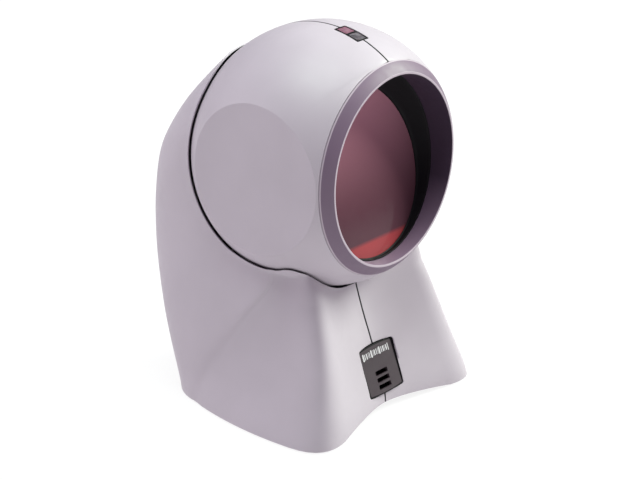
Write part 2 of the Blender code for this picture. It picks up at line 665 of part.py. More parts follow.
def optical_frame():
    plate = cylinder("optical_frame", 0.0405, FRAME_T, (0, FRAME_Y + FRAME_T / 2, 0), AXIS_Y, FRAME, HEAD,
                     segments=SEGMENTS)
    boolean(plate, box("frame_flats", (0.0770, 0.05, 0.1), (0, FRAME_Y, 0), None, HEAD), "INTERSECT")
    shelf = (MIRROR_T / 2 + GAP) * math.sqrt(2)
    wedge = [(0.0240, MIRROR_Y + MIRROR_R - 0.0240 + shelf), (0.0340, MIRROR_Y + MIRROR_R - 0.0340 + shelf),
             (0.0340, FRAME_Y + 0.0005), (0.0240, FRAME_Y + 0.0005)]
    for word, degrees in MIRROR_ANGLES.items():
        angle = math.radians(degrees)
        radial = Vector((math.sin(angle), 0, math.cos(angle)))
        sideways = radial.cross(AXIS_Y)
        turn = Matrix((radial, AXIS_Y, sideways)).transposed()
        boolean(plate, prism("wedge_" + word, wedge, 0.0100, (0, 0, 0), turn, None, HEAD), "UNION")
        tip = (radial - AXIS_Y).normalized()
        normal = sideways.cross(tip)
        box("pattern_mirror_" + word, (MIRROR_W, MIRROR_L, MIRROR_T),
            radial * MIRROR_R + AXIS_Y * MIRROR_Y, MIRROR, HEAD,
            Matrix((sideways, tip, normal)).transposed())
    boolean(plate, box("fold_arm", (0.0030, 0.0170, 0.0030), (0.0030, 0.0140, -0.0285), None, HEAD), "UNION")
    boolean(plate, box("collector_arm", (0.0140, 0.0190, 0.0022), (0, 0.0130, -0.0387), None, HEAD), "UNION")
    for i, (x, z) in enumerate(((-0.0150, 0.0180), (0.0150, -0.0180))):
        boolean(plate, cylinder(f"board_post_{i}", 0.0030, 0.0060, (x, FRAME_Y + FRAME_T + 0.0022, z), AXIS_Y,
                                None, HEAD, segments=16), "UNION")
        boolean(plate, cylinder(f"board_post_hole_{i}", 0.0015, 0.0070, (x, FRAME_Y + FRAME_T + 0.0040, z),
                                AXIS_Y, None, HEAD, segments=12))
    for x, z in POSTS:
        row = "top" if z > 0 else "bottom"
        for side, word in ((-1, "left"), (1, "right")):
            boolean(plate, cylinder(f"frame_hole_{row}_{word}", 0.0016, 0.010, (side * x, FRAME_Y, z), AXIS_Y,
                                    None, HEAD, segments=12))
            screw(f"frame_screw_{row}_{word}", (side * x, FRAME_Y - GAP, z), -AXIS_Y, HEAD, length=0.0090)
    return plate


def motor_and_polygon():
    shaft_r = 0.0015
    turned("motor_stator", [(shaft_r + 0.0003, -0.0162), (0.0092, -0.0162), (0.0095, -0.0165),
                            (0.0095, -0.0202), (shaft_r + 0.0003, -0.0202)],
           (0, 0, 0), -AXIS_Y, IRON, HEAD, steps=24, ring=True)
    board = box("motor_board", (0.0280, 0.0012, 0.0240), (0, 0.0211, 0), BOARD, HEAD)
    boolean(board, cylinder("motor_board_hole", shaft_r + 0.0004, 0.004, (0, 0.0211, 0), AXIS_Y, None, HEAD,
                            segments=16))
    cylinder("rotor_shaft", shaft_r, 0.0200, (0, 0.0108, 0), AXIS_Y, STEEL, HEAD, segments=16)
    hub = shaft_r + 0.0003
    turned("rotor_hub", [(hub, -0.0134), (0.0070, -0.0134), (0.0085, -0.0142), (0.0085, -0.0158),
                         (hub, -0.0158)], (0, 0, 0), -AXIS_Y, BRASS, HEAD, steps=24, ring=True)
    polygon = box("polygon_mirror", (0.0170, 0.0110, 0.0170), (0, 0.0075, 0), MIRROR, HEAD, bevel=0.0003)
    boolean(polygon, cylinder("polygon_bore", shaft_r + 0.0003, 0.020, (0, 0.0075, 0), AXIS_Y, None, HEAD,
                              segments=16))


def laser_and_detector():
    axis_y, axis_z = 0.0080, -0.0275
    cylinder("laser_module", 0.0045, 0.0160, (-0.0200, axis_y, axis_z), AXIS_X, BRASS, HEAD, segments=20)
    clamp = box("laser_clamp", (0.0080, 0.0180, 0.0120), (-0.0220, 0.0125, axis_z), BLACK, HEAD)
    boolean(clamp, cylinder("laser_bore", 0.0048, 0.020, (-0.0220, axis_y, axis_z), AXIS_X, None, HEAD,
                            segments=20))
    aslant = Matrix.Rotation(math.radians(-45), 3, "Y")
    box("fold_mirror", (0.0050, 0.0050, 0.0010), (0, axis_y, axis_z), MIRROR, HEAD, aslant)
    tilted = Matrix.Rotation(math.radians(-10), 3, "X")
    collector = box("collecting_mirror", (0.0220, 0.0160, 0.0030), (0, 0.0080, -0.0344), MIRROR, HEAD, tilted)
    dish = ball("collector_dish", 0.0400, None, HEAD, segments=96)
    dish.location = (0, 0.0080, 0.0063)
    boolean(collector, dish)
    box("detector_board", (0.0012, 0.0190, 0.0120), (0.0190, 0.0120, -0.0240), BOARD, HEAD)
    box("photodetector", (0.0020, 0.0050, 0.0050), (0.0171, 0.0080, -0.0240), BLACK, HEAD, bevel=0.0004)


def main_board():
    y = FRAME_Y + FRAME_T + 0.0052 + GAP + 0.0008
    board = box("main_board", (0.0400, 0.0016, 0.0440), (0, y, 0), BOARD, HEAD)
    chips = [("processor", 0.0120, 0.0120, 0.0060, 0.0040), ("decoder", 0.0080, 0.0100, -0.0100, -0.0080),
             ("driver", 0.0060, 0.0050, 0.0100, -0.0120)]
    for name, width, height, x, z in chips:
        boolean(board, box(name, (width, 0.0030, height), (x, y + 0.0014, z), None, HEAD), "UNION")
    for i, (x, z) in enumerate(((-0.0150, 0.0180), (0.0150, -0.0180))):
        boolean(board, cylinder(f"main_board_hole_{i}", 0.0015, 0.006, (x, y, z), AXIS_Y, None, HEAD,
                                segments=12))
        word = ("upper", "lower")[i]
        screw(f"main_board_screw_{word}", (x, y + 0.0008 + GAP, z), AXIS_Y, HEAD, length=0.0048)


stand_shells()
badge()
PLATE = base_plate()
ballast(PLATE)
interface(PLATE)
speaker()
tilt_parts()
harness()
head_shells()
window_parts()
indicator()
optical_frame()
motor_and_polygon()
laser_and_detector()
main_board()
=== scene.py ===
"""Looks of the presentation barcode scanner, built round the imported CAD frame.

Metres, in the row frame: +Z up, -Y out of the scan window. Most places are measured from CENTRE, the
middle of the ball head, which the tilt joint gives.
"""
import json
import math

import bmesh
import bpy
import numpy as np
from mathutils import Matrix, Vector

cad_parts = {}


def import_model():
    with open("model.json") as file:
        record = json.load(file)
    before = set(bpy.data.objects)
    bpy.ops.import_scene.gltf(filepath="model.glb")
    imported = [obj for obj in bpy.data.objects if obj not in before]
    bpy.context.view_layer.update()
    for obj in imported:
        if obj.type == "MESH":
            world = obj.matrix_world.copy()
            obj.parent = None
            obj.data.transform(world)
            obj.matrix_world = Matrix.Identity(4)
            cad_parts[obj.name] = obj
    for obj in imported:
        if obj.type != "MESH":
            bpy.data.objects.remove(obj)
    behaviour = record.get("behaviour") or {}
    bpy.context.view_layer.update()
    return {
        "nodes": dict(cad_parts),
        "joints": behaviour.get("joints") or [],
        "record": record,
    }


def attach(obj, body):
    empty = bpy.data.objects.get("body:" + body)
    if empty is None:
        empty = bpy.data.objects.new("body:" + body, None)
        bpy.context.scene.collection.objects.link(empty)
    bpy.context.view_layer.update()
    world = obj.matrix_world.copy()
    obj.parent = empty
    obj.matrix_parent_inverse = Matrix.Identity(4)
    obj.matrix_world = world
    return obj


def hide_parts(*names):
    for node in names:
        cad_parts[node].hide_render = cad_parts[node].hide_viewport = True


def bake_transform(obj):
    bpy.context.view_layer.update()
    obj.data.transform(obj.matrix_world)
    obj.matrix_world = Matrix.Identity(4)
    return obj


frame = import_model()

# ---- sizes shared with the CAD -----------------------------------------------------------------------
TILT = next(joint for joint in frame["joints"] if joint["name"] == "head_tilt")
CENTRE = np.array(TILT["pos_m"], float)
MIDDLE = Vector(CENTRE)
BALL_R = 0.0510
FLAT_X = 0.04185
RING_Y = -0.0302
GAP = 0.0003
PARTING = 0.00015
RUN = 0.0007             # room between the ball and the stand
RIM_T = 0.00034          # least wall at the stand's rim
RIM_R = BALL_R + RUN + RIM_T
WALL = 0.0020
BEZEL_Y, BEZEL_R, BEZEL_FRONT_R = -0.0340, 0.0363, 0.0374
BEZEL_BACK, BEZEL_TILT = -0.0236, math.radians(7)
WINDOW_Y, WINDOW_Z, WINDOW_TILT = -0.0174, -0.0036, math.radians(15)
WINDOW_VIEW_R, WINDOW_R, WINDOW_T = 0.0336, 0.0347, 0.0015

# the stand's outline and rim: each list is (height, value), and a y value counts from CENTRE's y
COWL_HALF_WIDTH = [(0.0008, 0.0431), (0.030, 0.0423), (0.054, 0.0393), (0.066, 0.0378), (0.076, 0.0379),
                   (0.098, 0.0385), (0.118, 0.0364), (0.128, 0.0326), (0.136, 0.0282), (0.144, 0.0225)]
COWL_BACK = [(0.0008, 0.0533), (0.030, 0.0633), (0.066, 0.0705), (0.092, 0.0666), (0.115, 0.0534),
             (0.136, 0.0361), (0.144, 0.0286)]
COWL_SQUARENESS = [(0.0008, 3.0), (0.060, 3.2), (0.110, 3.4), (0.144, 2.1)]
FRONT_MIDDLE = [(0.0008, -0.0299), (0.003, -0.0304), (0.020, -0.0257), (0.040, -0.0183), (0.066, -0.0080)]
FRONT_FOLD = [(0.0008, 0.0073), (0.066, 0.0115)]
FOOT_X = [(0.0008, 0.0508), (0.003, 0.0496), (0.020, 0.0446), (0.040, 0.0399), (0.057, 0.0374),
          (0.066, 0.0365), (0.100, 0.0350), (0.144, 0.0175)]
FOOT_Y = [(0.0008, -0.0412), (0.003, -0.0411), (0.020, -0.0366), (0.040, -0.0310), (0.057, -0.0248),
          (0.066, -0.0170)]
CREASE_Y = [(0.0008, 0.0352), (0.020, 0.0246), (0.040, 0.0103), (0.057, -0.0035), (0.066, -0.0055)]
SIDE_BOW = [(0.0008, 0.0050), (0.007, 0.0032), (0.014, 0.0006), (0.024, -0.0016), (0.036, -0.0028),
            (0.050, -0.0030), (0.066, -0.0037)]
CORNER_RADIUS = [(0.0008, 0.0115), (0.030, 0.0095), (0.066, 0.0080)]
COWL_CENTRE_Y, COWL_FRONT_REACH = 0.0120, 0.0320
RIM_BACK = [(0.113, 0.0358), (0.119, 0.0347), (0.125, 0.0334), (0.130, 0.0328), (0.133, 0.0332),
            (0.136, 0.0345), (0.144, 0.0350)]
RIM_CORNER_Z, RIM_TOP_Z = 0.0645, 0.1364
SIDE_TOP_Z, PEAK_TOP_Z = 0.0675, 0.09      # where the side ends, and a height above the rim's peak
RIM_CURVE_Z, RIM_CURVE_REACH = 0.108, 0.010      # where the rim starts to follow RIM_BACK, and how soon
RIM_PEAK = (0.0358, -0.0098, 0.0051)      # x, y and rise of the rim's peak at the corner
RIM_PEAK_REACH = (0.0076, 0.0050)      # how far the peak fades forwards and backwards
RIM_LIFT = (-0.0122, 0.0048, 0.0036)      # a last lift of the skin under the peak: y, reach and height
LIFT_FROM = 0.7      # share of the way up the skin at which the lift starts
FOOT_ARCH, ARCH_HALF_WIDTH, ARCH_FRONT = 0.0024, 0.034, -0.025


# ---- small helpers -----------------------------------------------------------------------------------
def unit(vectors):
    return vectors / np.maximum(np.linalg.norm(vectors, axis=-1, keepdims=True), 1e-12)


def table_curve(table, heights, soft=0.0):
    """Monotone cubic through a (height, value) table at even heights, blurred over soft metres."""
    zs = np.array([z for z, _ in table])
    vs = np.array([v for _, v in table])
    rise = np.diff(vs) / np.diff(zs)
    slope = np.empty(len(vs))
    slope[0], slope[-1] = rise[0], rise[-1]
    for i in range(1, len(vs) - 1):
        a, b = rise[i - 1], rise[i]
        slope[i] = 0.0 if a * b <= 0 else 2 * a * b / (a + b)

    def value(z):
        z = np.clip(z, zs[0], zs[-1])
        i = np.clip(np.searchsorted(zs, z) - 1, 0, len(rise) - 1)
        step = zs[i + 1] - zs[i]
        t = (z - zs[i]) / step
        return ((2 * t ** 3 - 3 * t ** 2 + 1) * vs[i] + (t ** 3 - 2 * t ** 2 + t) * step * slope[i]
                + (3 * t ** 2 - 2 * t ** 3) * vs[i + 1] + (t ** 3 - t ** 2) * step * slope[i + 1])

    if not soft:
        return value(heights)
    offsets = np.linspace(-3, 3, 25)
    weights = np.exp(-offsets ** 2 / 2)
    total = sum(w * value(heights + o * soft) for o, w in zip(offsets, weights))
    return total / weights.sum()


def mesh_object(name, vertices, faces, look, body=None, replaces=()):
    mesh = bpy.data.meshes.new(name)
    mesh.from_pydata([tuple(v) for v in vertices], [], [tuple(f) for f in faces])
    mesh.validate()
    made = bpy.data.objects.new(name, mesh)
    bpy.context.scene.collection.objects.link(made)
    if look is not None:
        mesh.materials.append(look)
    if body is not None:
        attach(made, body)
        if replaces:
            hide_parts(*replaces)
    return made


def outward(made):
    """Turn every face's normal out of the closed mesh."""
    bm = bmesh.new()
    bm.from_mesh(made.data)
    bmesh.ops.recalc_face_normals(bm, faces=bm.faces[:])
    bm.to_mesh(made.data)
    bm.free()


def shade(made):
    """Smooth shading with sharp edges over 38 degrees, and normals that follow the larger faces."""
    made.data.shade_smooth()
    made.data.set_sharp_from_angle(angle=math.radians(38))
    even = made.modifiers.new("even_normals", "WEIGHTED_NORMAL")
    even.keep_sharp = True


def cut(target, cutters):
    """Subtract closed meshes from the target, and drop the cutters."""
    for cutter in cutters:
        change = target.modifiers.new(cutter.name, "BOOLEAN")
        change.object = cutter
        change.solver = "EXACT"
        change.material_mode = "TRANSFER"
    graph = bpy.context.evaluated_depsgraph_get()
    graph.update()
    settled = bpy.data.meshes.new_from_object(target.evaluated_get(graph))
    old = target.data
    target.modifiers.clear()
    target.data = settled
    settled.name = target.name
    bpy.data.meshes.remove(old)
    for cutter in cutters:
        bpy.data.objects.remove(cutter)


def loop_faces(first, second):
    """Quads between two closed index loops of equal length."""
    count = len(first)
    return [(first[i], first[(i + 1) % count], second[(i + 1) % count], second[i]) for i in range(count)]


def loft(name, rings, look, body=None, replaces=(), ends=(), closed=False):
    """A skin over rings of points, closed in a loop, by fans to two end points, or by flat ends."""
    vertices, loops = list(ends), []
    for ring in rings:
        loops.append(list(range(len(vertices), len(vertices) + len(ring))))
        vertices.extend(ring)
    faces = []
    if ends:
        faces += [(0, a, b) for a, b in zip(loops[0], loops[0][1:] + loops[0][:1])]
        faces += [(1, b, a) for a, b in zip(loops[-1], loops[-1][1:] + loops[-1][:1])]
    elif not closed:
        faces += [tuple(loops[0]), tuple(reversed(loops[-1]))]
    for first, second in zip(loops, loops[1:] + (loops[:1] if closed else [])):
        faces.extend(loop_faces(first, second))
    made = mesh_object(name, vertices, faces, look, body, replaces)
    outward(made)
    return made


# ---- stand shell -------------------------------------------------------------------------------------
HEIGHT_STEP = 0.0005
HEIGHTS = np.arange(0.0008, 0.1473, HEIGHT_STEP)
FRONT_PLACES, CORNER_PLACES, SIDE_PLACES, COWL_PLACES = 59, 25, 69, 110
CREASE = FRONT_PLACES + CORNER_PLACES + SIDE_PLACES      # the crease's place round the outline
HOLLOW_DEPTH, HOLLOW_AHEAD, HOLLOW_REACH = 0.00042, 4, 3.0      # the last two in places
CREASE_REACH = 6.0       # how far its softening reaches, in places
STAND_COLUMNS, STAND_ROWS = 190, 84
RIM_ROUNDS, FOOT_ROUNDS = 12, 30      # rounds of smoothing
FAN_FROM, FAN_POWER = CREASE + 22, 0.95      # how the columns fan out under the cowl
LIP = 0.00016            # radius of the shell's rounded edges


def bezier(a, b, c, t):
    return (1 - t) ** 2 * a + 2 * t * (1 - t) * b + t * t * c


def outside_ball(points, least, soft=0.0):
    """Points pushed straight out to the least distance from the ball's middle, gently if soft."""
    ball = np.array([0, 0, CENTRE[2]])
    rel = points - ball
    dist = np.linalg.norm(rel, axis=-1, keepdims=True)
    kept = least + soft * np.logaddexp(0, (dist - least) / soft) if soft else np.maximum(dist, least)
    return ball + rel * kept / dist


def stand_surface():
    """Right half of the stand's outer skin as points[height][place], as drawn and clear of the ball."""
    def column(table, soft=0.004):
        return table_curve(table, HEIGHTS, soft)[:, None]

    width, power = column(COWL_HALF_WIDTH), column(COWL_SQUARENESS)
    reach = column(COWL_BACK) - COWL_CENTRE_Y
    front, fold = column(FRONT_MIDDLE, 0.002), column(FRONT_FOLD)
    corner_x, corner_y = column(FOOT_X, 0.002), column(FOOT_Y, 0.003)
    crease = column(CREASE_Y) - COWL_CENTRE_Y
    bow, radius = column(SIDE_BOW), column(CORNER_RADIUS)
    side_reach = np.where(crease > 0, reach, COWL_FRONT_REACH)
    corner = np.concatenate([corner_x, corner_y], 1)
    crease_x = width * (1 - np.abs(crease / side_reach) ** power) ** (1 / power)
    ridge = np.concatenate([crease_x, crease + COWL_CENTRE_Y], 1)

    span = np.hypot(corner_x, fold)
    drop = corner_y - front

    def front_at(x):
        return front + drop * (np.hypot(x, fold) - fold) / (span - fold)

    chord = ridge - corner
    length = np.linalg.norm(chord, axis=1, keepdims=True)
    away = np.concatenate([chord[:, 1:], -chord[:, :1]], 1) / length
    front_way = unit(np.concatenate([np.ones_like(span), drop * corner_x / span / (span - fold)], 1))
    turn = np.arccos(np.clip((front_way * chord / length).sum(1, keepdims=True), -1, 1))
    trim = np.minimum(radius * np.tan(turn / 2), 0.45 * length)
    end_x = corner_x - trim * front_way[:, :1]
    start = np.concatenate([end_x, front_at(end_x)], 1)
    t0 = trim / length
    end = corner + chord * t0 + 4 * bow * away * t0 * (1 - t0)
    start_way = unit(np.concatenate([np.ones_like(span),
                                     drop * end_x / np.hypot(end_x, fold) / (span - fold)], 1))
    end_way = unit(chord + 4 * bow * away * (1 - 2 * t0))
    # where the two tangents meet
    gap = end - start
    cross = start_way[:, :1] * end_way[:, 1:] - start_way[:, 1:] * end_way[:, :1]
    along = (gap[:, :1] * end_way[:, 1:] - gap[:, 1:] * end_way[:, :1]) / cross
    knee = start + start_way * along

    parts = []
    share = np.linspace(0, 1, FRONT_PLACES, endpoint=False)[None]
    xs = end_x * share
    parts.append(np.stack([xs, front_at(xs)], -1))
    t = np.linspace(0, 1, CORNER_PLACES, endpoint=False)[None, :, None]
    parts.append(bezier(start[:, None], knee[:, None], end[:, None], t))
    t = (t0 + (1 - t0) * np.linspace(0, 1, SIDE_PLACES, endpoint=False)[None])[..., None]
    parts.append(corner[:, None] + chord[:, None] * t + 4 * (bow * away)[:, None] * t * (1 - t))
    first = np.arcsin(np.sign(crease) * np.abs(crease / side_reach) ** (power / 2))
    angle = first + (math.pi / 2 - first) * np.linspace(0, 1, COWL_PLACES)[None]
    back, side = np.sin(angle), np.clip(np.cos(angle), 0, 1)
    y = np.sign(back) * np.abs(back) ** (2 / power) * np.where(back > 0, reach, COWL_FRONT_REACH)
    parts.append(np.stack([width * side ** (2 / power), COWL_CENTRE_Y + y], -1))
    flat = np.concatenate(parts, 1)

    # a shallow hollow on the front side of the crease, then the crease softened
    place = np.arange(flat.shape[1]) - CREASE
    hollow = np.exp(-((place + HOLLOW_AHEAD) / HOLLOW_REACH) ** 2) * (place <= 0)
    flat = flat - away[:, None] * (HOLLOW_DEPTH * hollow)[None, :, None]
    weight = np.exp(-(place / CREASE_REACH) ** 2)[None, :, None] * 0.5
    mean = flat.copy()
    mean[:, 1:-1] = (flat[:, :-2] + flat[:, 2:]) / 2
    flat = flat + (mean - flat) * weight
    flat[:, 0, 0] = flat[:, -1, 0] = 0.0
    height = np.broadcast_to(HEIGHTS[:, None, None], flat.shape[:2] + (1,))
    points = np.concatenate([flat, height], -1)
    return points, outside_ball(points, RIM_R, 0.0005)


def sample(grid, rows, columns):
    """Catmull-Rom sample of a grid of points at fractional rows and columns."""
    def weights(t):
        return [0.5 * (-t ** 3 + 2 * t ** 2 - t), 0.5 * (3 * t ** 3 - 5 * t ** 2 + 2),
                0.5 * (-3 * t ** 3 + 4 * t ** 2 + t), 0.5 * (t ** 3 - t ** 2)]

    r0, c0 = np.floor(rows).astype(int), np.floor(columns).astype(int)
    row_weights, column_weights = weights(rows - r0), weights(columns - c0)
    total = 0
    for i, wr in enumerate(row_weights):
        r = np.clip(r0 + i - 1, 0, grid.shape[0] - 1)
        for j, wc in enumerate(column_weights):
            c = np.clip(c0 + j - 1, 0, grid.shape[1] - 1)
            total = total + (wr * wc)[..., None] * grid[r, c]
    return total


def smooth_line(values, rounds):
    values = values.copy()
    for _ in range(rounds):
        values[1:-1] = (values[:-2] + 2 * values[1:-1] + values[2:]) / 4
    return values


def row_of(height):
    return (height - HEIGHTS[0]) / HEIGHT_STEP


def rim_line(raw, skin):
    """The stand's rim in (row, column) places of the skin, from the front middle to the back middle."""
    field = np.linalg.norm(raw - np.array([0, 0, CENTRE[2]]), axis=-1) - RIM_R
    side_row = int(row_of(SIDE_TOP_Z))
    rows, columns = [], []
    # front and side: the first height at which a column enters the ball, or the cap round the corner
    cap = row_of(RIM_CORNER_Z)
    for c in range(skin.shape[1]):
        inside = np.nonzero(field[:side_row, c] < 0)[0]
        if len(inside) == 0 and c > CREASE - 3:
            break
        row = cap
        if len(inside):
            r = inside[0]
            row = r - 1 + field[r - 1, c] / (field[r - 1, c] - field[r, c])
        rows.append(min(row, cap) if c < CREASE + 7 else row)
        columns.append(float(c))
    # cowl: at each height, the place behind which the outline is outside the ball
    back = table_curve(RIM_BACK, HEIGHTS, 0.003)
    blend = np.clip((HEIGHTS - RIM_CURVE_Z) / RIM_CURVE_REACH, 0, 1)
    for r in range(int(rows[-1]) + 1, int(row_of(RIM_TOP_Z)) - 1):
        outline = skin[r, :, 1]
        outside = np.nonzero(field[r] < 0)[0]
        crossing = 0.0
        if len(outside) and outside[-1] + 1 < field.shape[1]:
            c = outside[-1]
            t = field[r, c] / (field[r, c] - field[r, c + 1])
            crossing = outline[c] + (outline[c + 1] - outline[c]) * t
        wanted = crossing * (1 - blend[r]) + back[r] * blend[r]
        c = np.nonzero((outline < wanted) & (np.arange(len(outline)) > CREASE + 1))[0][-1]
        t = (wanted - outline[c]) / (outline[c + 1] - outline[c])
        rows.append(float(r))
        columns.append(c + t)
    rows.append(row_of(RIM_TOP_Z))
    columns.append(skin.shape[1] - 1.0)
    return np.array(rows), np.array(columns)


def resample(rows, columns, grid, count):
    """The same line with its points evenly spaced along it."""
    line = sample(grid, rows, columns)
    run = np.concatenate([[0], np.cumsum(np.linalg.norm(np.diff(line, axis=0), axis=1))])
    wanted = np.linspace(0, run[-1], count)
    return np.interp(wanted, run, rows), np.interp(wanted, run, columns)


def stand_half():
    """Outer and inner skins of the right half, each as points[row][column]."""
    raw, skin = stand_surface()
    rows, columns = rim_line(raw, skin)
    rows, columns = resample(rows, columns, skin, STAND_COLUMNS)
    rows, columns = smooth_line(rows, RIM_ROUNDS), smooth_line(columns, RIM_ROUNDS)
    peak_x, peak_y, rise = RIM_PEAK
    line = sample(skin, rows, columns)
    below = line[:, 2] < PEAK_TOP_Z
    forward, backward = RIM_PEAK_REACH
    behind = line[:, 1] - peak_y
    away = np.hypot((line[:, 0] - peak_x) / forward, behind / np.where(behind > 0, backward, forward))
    rows = rows + rise / HEIGHT_STEP * np.exp(-away ** 2) * below
    # the foot of each column: straight below the rim at the front, fanned out under the cowl
    last = skin.shape[1] - 1.0
    run = np.linspace(0, 1, STAND_COLUMNS)
    turn = np.argmax(columns > FAN_FROM)
    fan = np.clip((run - run[turn]) / (1 - run[turn]), 0, 1)
    base = columns[turn]
    spread = base + (last - base) * fan ** FAN_POWER
    foot_columns = np.where(run <= run[turn], columns, np.maximum(spread, columns))
    foot_columns = smooth_line(foot_columns, FOOT_ROUNDS)
    foot_columns[0], foot_columns[-1] = 0.0, last
    foot = sample(skin, np.zeros(STAND_COLUMNS), foot_columns)
    arch = np.where(foot[:, 1] < ARCH_FRONT, np.clip(1 - (foot[:, 0] / ARCH_HALF_WIDTH) ** 2, 0, 1), 0)
    foot_rows = FOOT_ARCH * arch / HEIGHT_STEP + LIP / HEIGHT_STEP
    t = np.linspace(0, 1, STAND_ROWS)[:, None]
    outer = sample(skin, foot_rows + (rows - foot_rows) * t, foot_columns + (columns - foot_columns) * t)
    lift_y, reach, height = RIM_LIFT
    lift = height * np.exp(-((line[:, 1] - lift_y) / reach) ** 2) * below
    outer[..., 2] += lift * np.clip((t - LIFT_FROM) / (1 - LIFT_FROM), 0, 1) ** 2
    outer = outside_ball(outer, RIM_R)
    outer[:, 0, 0] = outer[:, -1, 0] = 0.0
    normal = unit(np.cross(np.gradient(outer, axis=1), np.gradient(outer, axis=0)))
    normal[:, 0, 0] = normal[:, -1, 0] = 0.0
    normal = unit(normal)
    inner = outside_ball(outer - normal * WALL, BALL_R + RUN)
    outer[:, 0, 0] = outer[:, -1, 0] = inner[:, 0, 0] = inner[:, -1, 0] = PARTING + LIP
    offset = np.array([0, CENTRE[1], 0])
    return outer + offset, inner + offset, normal


def closed_shell(outer, inner, normal):
    """Vertices and faces of a closed shell from two skins, with rounded edges all round."""
    rows, columns = outer.shape[:2]
    flat = rows * columns
    index = np.arange(flat).reshape(rows, columns)
    vertices = [outer.reshape(-1, 3), inner.reshape(-1, 3)]
    faces = []
    for r in range(rows - 1):
        for c in range(columns - 1):
            a, b, d, e = index[r, c], index[r, c + 1], index[r + 1, c + 1], index[r + 1, c]
            faces.append((a, b, d, e))
            faces.append((a + flat, e + flat, d + flat, b + flat))
    across, up = range(columns - 1), range(rows - 1)
    loop = [(0, c) for c in across] + [(r, columns - 1) for r in up]
    loop += [(rows - 1, columns - 1 - c) for c in across] + [(rows - 1 - r, 0) for r in up]
    r, c = np.array(loop).T
    way = np.zeros((len(loop), 3))
    way[r == 0] += unit(outer[0] - outer[1])[c[r == 0]]
    way[r == rows - 1] += unit(outer[-1] - outer[-2])[c[r == rows - 1]]
    way[(c == 0) | (c == columns - 1)] += np.array([-1.0, 0, 0])
    way = unit(way)
    out, ins, nrm = outer[r, c], inner[r, c], normal[r, c]
    rings = [index[r, c]]
    total = 2 * flat
    for base, sign, angles in ((out, -1, (30, 60, 90)), (ins, 1, (90, 45))):
        for degrees in angles:
            a = math.radians(degrees)
            ring = base + way * LIP * math.sin(a) + sign * nrm * LIP * (1 - math.cos(a))
            vertices.append(ring)
            rings.append(np.arange(total, total + len(loop)))
            total += len(loop)
    rings.append(rings[0] + flat)
    for first, second in zip(rings, rings[1:]):
        faces.extend(loop_faces(list(second), list(first)))
    return np.concatenate(vertices), faces


def both_halves(body, vertices, faces, look):
    """The left and the right piece of a body's case; the mesh as given is the right one's."""
    made = []
    for side, sign in (("left", -1), ("right", 1)):
        half = mesh_object(f"{body}_case_{side}", vertices * np.array([sign, 1, 1]), faces, look, body,
                           (f"{body}_shell_{side}",))
        outward(half)
        shade(half)
        made.append(half)
    return made


# ---- materials ---------------------------------------------------------------------------------------
class Tree:
    """Short calls for the nodes of one material or world."""

    def __init__(self, owner):
        owner.use_nodes = True
        self.owner = owner
        self.nodes, self.links = owner.node_tree.nodes, owner.node_tree.links
        self.end = self.nodes.get("Principled BSDF") or self.nodes["Background"]
        self.places = self.add("TexCoord").outputs

    def add(self, kind):
        return self.nodes.new("ShaderNode" + kind)

    def feed(self, socket, value):
        """Link a socket into this one, or set it to a plain value."""
        if isinstance(value, bpy.types.NodeSocket):
            self.links.new(value, socket)
        else:
            socket.default_value = (*value, 1) if socket.type == "RGBA" else value

    def show(self, key, value):
        """Feed the last shader of the tree."""
        self.feed(self.end.inputs[key], value)

    def colour(self):
        """What feeds the base colour so far."""
        return self.end.inputs["Base Color"].links[0].from_socket

    def noise(self, scale, detail, source=None):
        made = self.add("TexNoise")
        self.feed(made.inputs["Scale"], scale)
        self.feed(made.inputs["Detail"], detail)
        self.feed(made.inputs["Vector"], self.places["Object"] if source is None else source)
        return made.outputs["Fac"]

    def remap(self, value, low, high, from_low=0.3, from_high=0.7):
        made = self.add("MapRange")
        for key, number in (("Value", value), ("From Min", from_low), ("From Max", from_high),
                            ("To Min", low), ("To Max", high)):
            self.feed(made.inputs[key], number)
        return made.outputs["Result"]

    def mix(self, factor, first, second):
        made = self.add("Mix")
        made.data_type = "RGBA"
        for key, value in (("Factor", factor), ("A", first), ("B", second)):
            socket = next(s for s in made.inputs if s.name == key and (key == "Factor" or s.type == "RGBA"))
            self.feed(socket, value)
        return next(s for s in made.outputs if s.type == "RGBA")

    def maths(self, operation, *values, kind="Math", out="Value"):
        made = self.add(kind)
        made.operation = operation
        for socket, value in zip(made.inputs, values):
            self.feed(socket, value)
        return made.outputs[out]

    def split(self, source):
        made = self.add("SeparateXYZ")
        self.feed(made.inputs["Vector"], source)
        return made.outputs

    def bump(self, height, distance):
        made = self.add("Bump")
        self.feed(made.inputs["Distance"], distance)
        self.feed(made.inputs["Height"], height)
        self.show("Normal", made.outputs["Normal"])


def new_tree(name):
    return Tree(bpy.data.materials.new(name))


def plastic(name, colour, roughness, change=0.03, grain=2600, depth=0.000012):
    """Moulded plastic: faint flow marks in the colour, a fine spark-eroded grain in the surface."""
    tree = new_tree(name)
    low = tuple(c * (1 - change) for c in colour)
    high = tuple(min(1.0, c * (1 + change)) for c in colour)
    tree.show("Base Color", tree.mix(tree.remap(tree.noise(45, 3), 0, 1), low, high))
    tree.show("Roughness", tree.remap(tree.noise(grain / 8, 3), roughness - 0.05, roughness + 0.06))
    tree.bump(tree.noise(grain, 2), depth)
    return tree.owner


